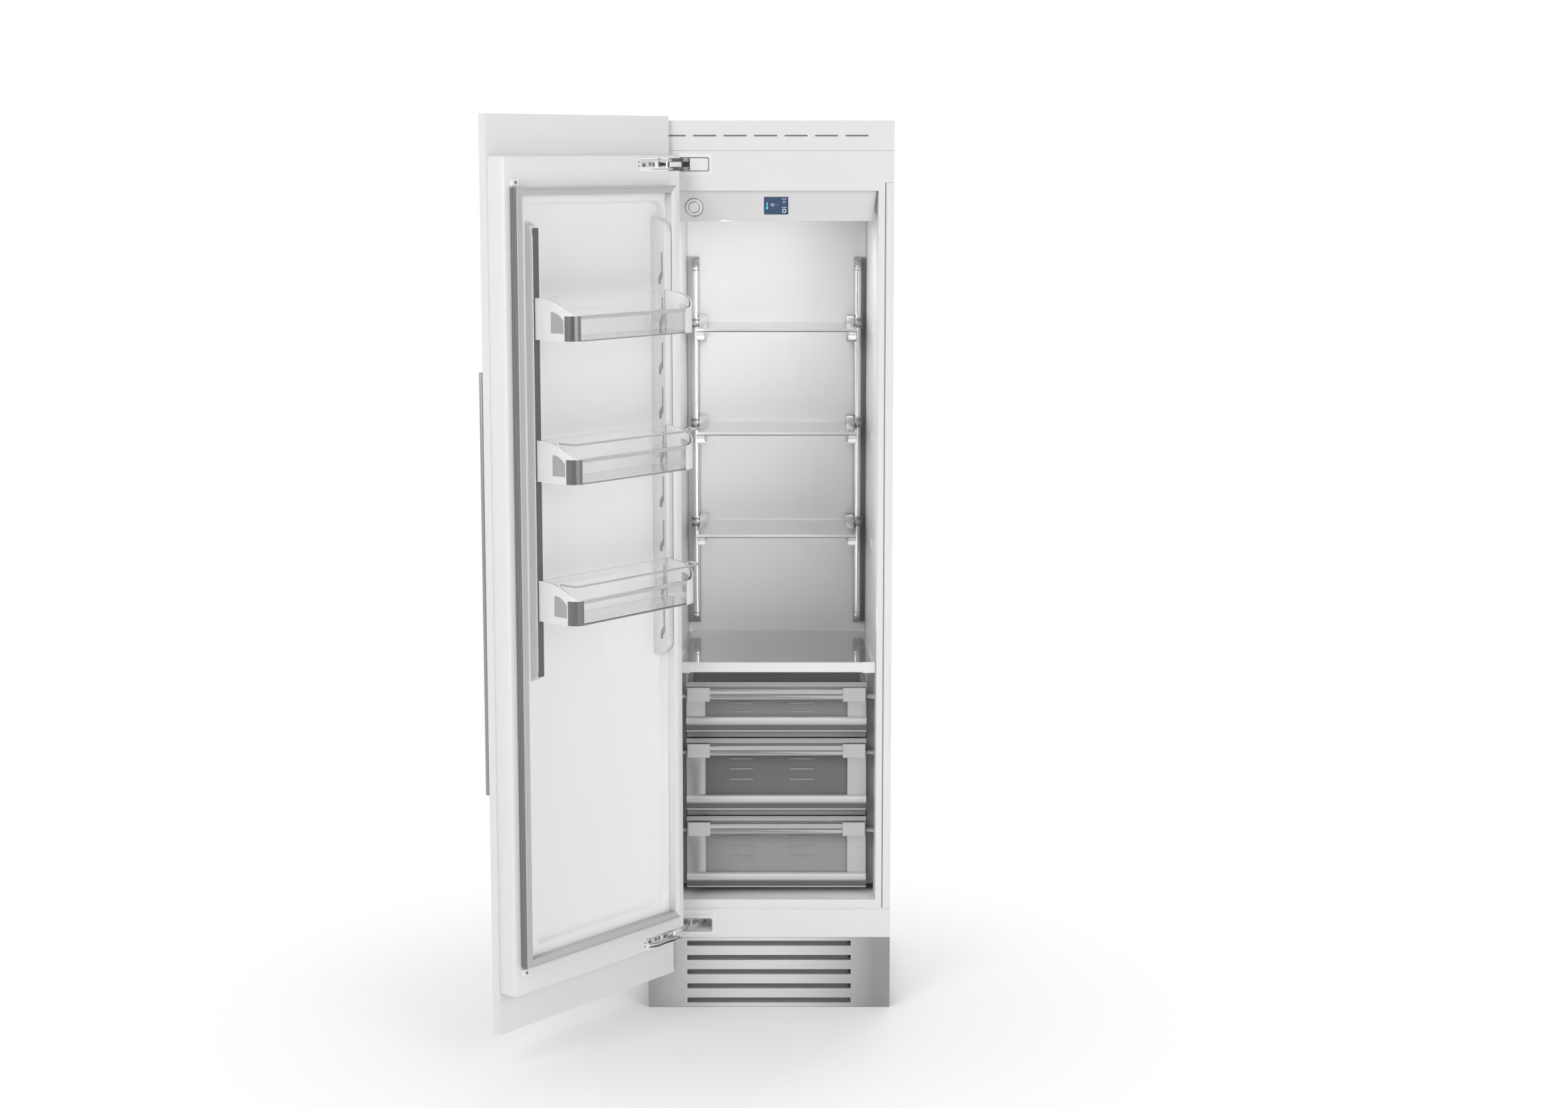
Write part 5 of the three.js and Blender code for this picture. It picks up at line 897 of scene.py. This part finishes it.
GASKET_LOW, GASKET_HIGH = (50.0, 260.7), (569.5, 2025.4)
GASKET_WIDTH = 18.6
GASKET_BASE, GASKET_TIP = 49.3, 70.7
rib = np.linspace(0, 1, 33)
rib_wave = 1.1 + 0.9 * np.cos(rib * 2 * math.pi * 4)
low_wave = 1.1 + 0.15 * np.cos(rib * 2 * math.pi * 4)
side_w = GASKET_BASE + 0.4 + rib * (GASKET_TIP - GASKET_BASE - 2.4)
gasket_profile = np.concatenate(
    [
        np.column_stack([low_wave, side_w]),
        [(0.8, GASKET_TIP - 0.9), (2.2, GASKET_TIP - 0.1), (4.6, GASKET_TIP - 0.1)],
        [(5.2, GASKET_TIP - 1.0), (6.2, GASKET_TIP - 1.0), (6.8, GASKET_TIP - 0.1)],
        [(GASKET_WIDTH - 2.2, GASKET_TIP - 0.1), (GASKET_WIDTH - 0.8, GASKET_TIP - 0.9)],
        np.column_stack([GASKET_WIDTH - low_wave, side_w])[::-1],
    ]
)
ring_points, _ = round_frame(gasket_profile, GASKET_LOW, GASKET_HIGH)
corners = ring_points.reshape(4, -1, 3)
# The hinge side of the gasket takes the white plastic, a lit copy of the grey rubber: painted light
for number, (label, finish) in enumerate(
    [("bottom", None), ("free", None), ("top", None), ("hinge", "white_plastic")]
):
    side = skin_of(corners[[number, (number + 1) % 4]])
    piece(f"gasket_{label}", side, "door", "gasket_rubber", finish, place=hung, angle=50,
          stands_for=("door_gasket",))

free = GASKET_HIGH[0]
side_profile = np.concatenate(
    [
        np.column_stack([free + 0.6 - rib_wave, side_w]),
        [(free - 1.5, GASKET_TIP - 0.6), (free - 5.0, 62.0), (free - 5.0, GASKET_BASE + 0.5)],
    ]
)
piece("gasket_free_side", bar(side_profile, "z", GASKET_LOW[1] + 1, GASKET_HIGH[1] - 1), "door",
      "gasket_rubber", "gasket_shade", place=hung, angle=50)

for label, low, high in (("top", 2027.6, 2043.9), ("bottom", 240.0, 256.0)):
    block = brick(549, 570, 48.8, 58, low, high)
    piece(f"corner_block_{label}", block, "door", "white_plastic", place=hung, rounding=1.5)
    hole = turned([(0, 0), (4, 0), (4, 0.3), (0, 0.3)], (559.5, 58, (low + high) / 2), "y")
    piece(f"corner_hole_{label}", hole, "door", "white_plastic", "shade_grey", place=hung)

(mark_u0, mark_z0), (mark_u1, mark_z1) = (209.0, 2064.2), (237.3, 2083.4)
MARK_DEPTH, MARK_LINE = (48.7, 49.4), 1.4
mark = together(
    brick(mark_u0, mark_u1, *MARK_DEPTH, mark_z0, mark_z0 + MARK_LINE),
    brick(mark_u0, mark_u1, *MARK_DEPTH, mark_z1 - MARK_LINE, mark_z1),
    brick(mark_u1 - MARK_LINE, mark_u1, *MARK_DEPTH, mark_z0 + MARK_LINE,
          mark_z1 - MARK_LINE),
)
piece("body_mark", mark, "door", "white_plastic", "liner_white", place=hung)

# Hinges


def bolt(u, w, z, radius=4.2):
    """A bolt head on the hinge that faces out of the door's body."""
    return screw((u, w, z), "y", radius, 3.0)


LONG_ARM = [
    (24, 26), (50, 18), (137, 18), (139, 33), (118, 41), (92, 46), (60, 47), (34, 42),
]
SHORT_ARM = [
    (28, 22), (60, 18), (130, 18), (130, 30), (104, 44), (70, 40), (40, 44), (27, 38),
]
LINK = [(78, 17), (134, 17), (134, 34), (112, 38), (84, 33)]
SEAT_FORK = [(-207, 50), (-207, 18), (-201, 11), (-189, 11), (-184, 18), (-184, 50)]
for label, centre in HINGE_CENTRES.items():
    end_plate = brick(148.5, 162.0, 38, 48.6, centre - HINGE_HALF_HEIGHT,
                      centre + HINGE_HALF_HEIGHT)
    piece(f"hinge_end_plate_{label}", end_plate, "door", "white_plastic", place=hung, rounding=0.8)
    holes = together(
        *[
            turned([(0, 0), (1.9, 0), (1.9, 0.25), (0, 0.25)], (155.5, 48.6, centre + z), "y", 16)
            for z in (6.0, -3.0)
        ]
    )
    piece(f"hinge_end_holes_{label}", holes, "door", "black_plastic", place=hung)
    plates = together(
        bar(LONG_ARM, "z", centre + 8.5, centre + 11.5),
        bar(SHORT_ARM, "z", centre - 12.5, centre - 9.0),
        bar(LINK, "z", centre - 5.5, centre + 6.5),
    )
    piece(f"hinge_levers_{label}", plates, "door", "bright_metal", "lever_metal", place=hung,
          rounding=0.9)
    bolts = together(
        bolt(90, 33.5, centre), bolt(106, 36.5, centre + 1), bolt(124, 35.5, centre - 1)
    )
    piece(f"hinge_bolts_{label}", bolts, "door", "bright_metal", "dark_metal", place=hung)
    seat = together(
        brick(-216, -193, 50, 54, centre - 14, centre + 14),
        bar(SEAT_FORK, "z", centre + 8, centre + 10.5),
        bar(SEAT_FORK, "z", centre - 10.5, centre - 8),
    )
    piece(f"hinge_seat_{label}", seat, "cabinet", "bright_metal", "lever_metal", rounding=0.7)
    if label == "bottom":
        heads = screw((-160, 54.2, centre - 6), "y", 4.2, -2.4)
        piece("pocket_screw", heads, "cabinet", "bright_metal", "dark_metal")


def outline_ring(outer, inner, y0, y1):
    """The strip between two outlines of as many points, from depth y0 to depth y1."""
    grid = np.empty((4, len(outer), 3))
    for row, (outline, y) in enumerate([(outer, y0), (outer, y1), (inner, y1), (inner, y0)]):
        grid[row, :, 0], grid[row, :, 2], grid[row, :, 1] = outline[:, 0], outline[:, 1], y
    return skin_of(grid, round_rows=True)


POCKET_RIGHT, POCKET_LEFT, POCKET_HALF = -140.0, -282.0, 15.6
for label, centre in HINGE_CENTRES.items():
    low, high = centre - POCKET_HALF, centre + POCKET_HALF
    outer = round_rect(POCKET_LEFT, POCKET_RIGHT, low - 1.2, high + 1.2, 5.0)
    inner = round_rect(POCKET_LEFT + 1.5, POCKET_RIGHT - 1.5, low + 0.3, high - 0.3, 3.6)
    piece(f"pocket_edge_{label}", outline_ring(outer, inner, -1.4, 2.0), "cabinet",
          "bright_metal", "dark_metal")

# Bins and their rails

rail_face = brick(504.2, 521.8, 69.8, 70.5, 930, 1936)
piece("rail_face_free", rail_face, "door", "drawer_metal", "rail_shade", place=hung)
# Grey hook-shaped plates on the hinge rail: painted shade for its J slots
TOP_HOOK, HOOK_COUNT = 1796.2, 9
hooks = []
for low in TOP_HOOK - HOOK_PITCH * np.arange(HOOK_COUNT):
    hook = [(57.5, low + 74), (57.5, low + 20), (51, low + 11), (51, low), (55, low), (55, low + 8),
            (60.8, low + 16), (60.8, low + 74)]
    hooks.append(bar(hook, "x", 90.8, 91.6))
piece("rail_channel_hinge", together(*hooks), "door", "drawer_metal", "gap_shade_grey", place=hung)

BIN_END, BIN_FRONT = 517.4, 186.0
NOSE_RADIUS = 25
BAR_START, BAR_END = 150.0, 493
for k, top in BIN_TOPS.items():
    low = top - BIN_HEIGHT
    ribs = together(
        brick(149.4, 151.0, 73.6, 75.4, low + 6, top - 3),
        *[brick(u, u + 1.4, 73.8, 78, low + 18, low + 50) for u in (104, 112, 122, 133)],
    )
    piece(f"tray_ribs_{k}", ribs, f"bin_{k}", "clear_plastic", place=hung, rounding=0.3)
    turn = np.linspace(0, math.pi / 2, 15)
    arc = [
        np.column_stack(
            [BIN_END - NOSE_RADIUS + r * np.cos(turn), BIN_FRONT - NOSE_RADIUS + r * np.sin(turn)]
        )
        for r in (25.5, 24.0)
    ]
    front_bar = brick(BAR_START, BAR_END, 181.9, 186.4, low + 48.8, low + 56.3)
    piece(f"bin_bar_{k}", front_bar, f"bin_{k}", "brushed_steel", "bar_metal", place=hung,
          rounding=1.0)
    keel = brick(BAR_START, BAR_END, 182.2, 184.4, low - 0.3, low + 2.4)
    piece(f"tray_keel_{k}", keel, f"bin_{k}", "clear_plastic", "dark_metal", place=hung,
          rounding=0.4)
    window = [(119, low + 17), (156.6, low + 17), (156.6, low + 44), (147, low + 52),
              (134, low + 60), (119, low + 63.5)]
    piece(f"cap_pane_{k}", bar(window, "x", 515.0, 516.2), f"bin_{k}", "clear_plastic",
          "pane_and_gap_shade_grey", place=hung)
    if k > 1:
        bends = [(517.1, 138), (517.1, 187.8), (92.3, 187.8), (92.3, 138)]
        route = [(u, w, low + 90) for u, w in bends]
        rod = pipe(eased(route, (9, 40)), 2.1, (0, 0, 1), 12)
        piece(f"bin_bail_{k}", rod, f"bin_{k}", "brushed_steel", "rail_metal", place=hung)
    # The rounded nose is dark in its colour: a painted reflection
    nose = bar(np.concatenate([arc[0], arc[1][::-1]]), "z", low + 0.5, low + 55.5)
    piece(f"bin_nose_{k}", nose, f"bin_{k}", "brushed_steel", "nose_painted_reflection", place=hung)

# Slots of the upper fascia

VENT_SLOT_HALF, VENT_SLOT_PITCH = 27, 72.1
backing = together(
    *[
        brick(x - VENT_SLOT_HALF, x + VENT_SLOT_HALF, 3, 5, 2138.1, 2141.4)
        for x in SLOTS_MIDDLE + VENT_SLOT_PITCH * np.arange(-3, 4)
    ]
)
piece("vent_backing", backing, "cabinet", "white_enamel", "shade_grey")

# Back of the cabinet

BACK = 555.0
VENT_HALF, VENT_LOW, VENT_TOP = 210.0, 95.0, 195.0
rim_outer = round_rect(-VENT_HALF - 8, VENT_HALF + 8, VENT_LOW - 8, VENT_TOP + 8, 7.0)
rim_inner = round_rect(-VENT_HALF + 4, VENT_HALF - 4, VENT_LOW + 4, VENT_TOP - 4, 4.0)
piece("rear_grille_rim", outline_ring(rim_outer, rim_inner, BACK - 0.5, BACK + 1.8), "cabinet",
      "black_plastic", rounding=0.5)
slats = []
for low in np.linspace(VENT_LOW + 3, VENT_TOP - 14, 9):
    slat = [
        (BACK + 0.6, low), (BACK + 0.6, low + 1.4), (BACK - 11, low + 9.4), (BACK - 11, low + 8),
    ]
    slats.append(bar(slat, "x", -VENT_HALF + 1, VENT_HALF - 1))
stays = [
    brick(x - 1.5, x + 1.5, BACK - 10, BACK - 1, VENT_LOW + 1, VENT_TOP - 1) for x in (-70, 70)
]
piece("rear_grille_slats", together(*slats, *stays), "cabinet", "black_plastic", rounding=0.3)

COVER_HALF, COVER_LOW, COVER_TOP = 284.0, 58.0, 232.0
seam_outer = round_rect(-COVER_HALF, COVER_HALF, COVER_LOW, COVER_TOP, 6.0)
seam_inner = round_rect(-COVER_HALF + 1.4, COVER_HALF - 1.4, COVER_LOW + 1.4, COVER_TOP - 1.4, 4.6)
piece("rear_cover_seam", outline_ring(seam_outer, seam_inner, BACK - 0.5, BACK + 0.25), "cabinet",
      "white_enamel", "shade_grey")
cover_screws = [
    (x, z) for x in (-272, -91, 91, 272) for z in (COVER_LOW + 12, COVER_TOP - 12)
]
edge_screws = [(x, z) for x in (-284, 284) for z in (400, 1230, 2060)]
heads = together(
    *[screw((x, BACK, z), "y", 4.6, 2.4) for x, z in cover_screws + edge_screws]
)
piece("rear_screws", heads, "cabinet", "galvanised")
across = np.linspace(-1, 1, 13)
bead = np.column_stack([9 * across, BACK - 0.3 + 2.1 * (1 - across**2)])
beads = [bar(bead + [x, 0], "z", 290, 2090) for x in (-170, 0, 170)]
piece("rear_beads", together(*beads), "cabinet", "white_enamel")

# Camera, light and floor

PHOTO_WIDTH, PHOTO_HEIGHT = 2296, 1623
FOCAL_PIXELS = 3630
HORIZON_ROW = 224.1
SENSOR = 36.0
SHIFT = -0.03
# The photograph's camera stood level. This one tilts, which shortens the lower half, so its
# lens is a little longer and its tilt a little less: top and bottom then both stay close.
LONGER, LESS_TILT = 1.025, 9
CAMERA_RIGHT = 0.0371
CAMERA_BACK = -6.070
CAMERA_HEIGHT = 2.105

camera_data = bpy.data.cameras.new("camera")
camera_data.sensor_width = SENSOR
camera_data.lens = SENSOR * FOCAL_PIXELS * LONGER / PHOTO_WIDTH
camera_data.shift_y = SHIFT
camera = bpy.data.objects.new("camera", camera_data)
bpy.context.scene.collection.objects.link(camera)
camera.location = (MIDDLE + CAMERA_RIGHT, front_low.y + CAMERA_BACK, CAMERA_HEIGHT)
below_axis = PHOTO_HEIGHT / 2 - HORIZON_ROW + SHIFT * PHOTO_WIDTH - LESS_TILT
camera.rotation_euler = (math.pi / 2 - math.atan2(below_axis, FOCAL_PIXELS), 0, 0)
bpy.context.scene.camera = camera


def softbox(name, place, aim, size, watts):
    """A square area lamp that faces a point."""
    data = bpy.data.lights.new(name, "AREA")
    data.shape = "RECTANGLE"
    data.size, data.size_y = size
    data.energy = watts
    data.specular_factor = 0.2
    lamp = bpy.data.objects.new(name, data)
    lamp.location = place
    lamp.rotation_euler = (Vector(aim) - Vector(place)).to_track_quat("-Z", "Y").to_euler()
    bpy.context.scene.collection.objects.link(lamp)
    return lamp


softbox("key", (-2.6, -4.6, 3.4), (0.1, 0, 1.1), (2.4, 2.6), 110)
softbox("fill", (3.0, -4.4, 2.4), (0.1, 0, 1.1), (2.4, 2.8), 78)
softbox("rear", (1.5, 4.5, 3.6), (0.1, 0, 1.2), (3.0, 3.0), 70)
lens_low, lens_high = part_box("ceiling_light")
lens = (lens_low + lens_high) / 2
softbox("compartment", (lens.x, lens.y, lens_low.z - 0.004), (lens.x - 0.05, lens.y + 0.12, 1.2),
        (0.28, 0.04), 0.55)
for label, side, watts in (("left", -1, 0.32), ("right", 1, 0.17)):
    column = room([(COMPARTMENT + side * 226, 40, 1420), (COMPARTMENT, 440, 1380)])
    softbox(f"column_{label}", column[0], column[1], (0.02, 0.95), watts)

world = bpy.data.worlds.new("studio")
world.use_nodes = True
bpy.context.scene.world = world
sky = world.node_tree
sky.nodes.clear()
path = node(sky, "LightPath")
seen = node(
    sky,
    "Math",
    {0: path.outputs["Is Camera Ray"], 1: path.outputs["Is Transmission Ray"]},
    operation="MAXIMUM",
)
direction = node(sky, "TexCoord").outputs["Generated"]
forward = node(
    sky, "VectorMath", {0: direction, 1: (0.0, -1.0, 0.0)}, operation="DOT_PRODUCT"
)
unlit = node(
    sky,
    "MapRange",
    {"Value": forward.outputs["Value"], "From Min": 0.45, "From Max": 0.92, "To Min": 1.0,
     "To Max": 0.03},
    interpolation_type="SMOOTHSTEP",
)
AMBIENT_SHARE = 0.66
bright = node(sky, "Background", {"Color": (1, 1, 1, 1), "Strength": 1.0})
mirrored = node(sky, "Background", {"Color": (1, 1, 1, 1), "Strength": unlit.outputs["Result"]})
dimmed = node(sky, "Math", {0: unlit.outputs["Result"], 1: AMBIENT_SHARE}, operation="MULTIPLY")
ambient = node(sky, "Background", {"Color": (1, 1, 1, 1), "Strength": dimmed.outputs[0]})
lighting = node(
    sky,
    "MixShader",
    {0: path.outputs["Is Glossy Ray"], 1: ambient.outputs[0], 2: mirrored.outputs[0]},
)
mixed = node(
    sky, "MixShader", {0: seen.outputs[0], 1: lighting.outputs[0], 2: bright.outputs[0]}
)
node(sky, "OutputWorld", {"Surface": mixed.outputs[0]})

FLOOR_SIDE = 30.0
floor_data = bpy.data.meshes.new("floor")
half = FLOOR_SIDE / 2
floor_data.from_pydata(
    [(-half, -half, 0), (half, -half, 0), (half, half, 0), (-half, half, 0)], [], [(0, 1, 2, 3)]
)
floor = bpy.data.objects.new("floor", floor_data)
bpy.context.scene.collection.objects.link(floor)
floor_paint = bpy.data.materials.new("floor_paint")
floor_paint.use_nodes = True
tree = floor_paint.node_tree
tree.nodes.clear()
path = node(tree, "LightPath")
matt = node(tree, "BsdfDiffuse", {"Color": (0.95, 0.95, 0.95, 1)})
white = node(tree, "Emission", {"Color": (1, 1, 1, 1), "Strength": 1.0})
place = node(tree, "TexCoord").outputs["Object"]
away = node(tree, "VectorMath", {0: place}, operation="LENGTH")
fade = node(
    tree,
    "MapRange",
    {"Value": away.outputs["Value"], "From Min": 0.3, "From Max": 1.3},
    interpolation_type="SMOOTHSTEP",
)
blend = node(
    tree, "MixShader", {0: fade.outputs["Result"], 1: matt.outputs[0], 2: white.outputs[0]}
)
shown = node(
    tree,
    "Math",
    {0: path.outputs["Is Camera Ray"], 1: path.outputs["Is Glossy Ray"]},
    operation="MAXIMUM",
)
shown = node(
    tree,
    "Math",
    {0: shown.outputs[0], 1: path.outputs["Is Transmission Ray"]},
    operation="MAXIMUM",
)
only = node(
    tree, "MixShader", {0: shown.outputs[0], 1: matt.outputs[0], 2: blend.outputs[0]}
)
node(tree, "OutputMaterial", {"Surface": only.outputs[0]})
floor_data.materials.append(floor_paint)

scene = bpy.context.scene
scene.view_settings.view_transform = "Standard"
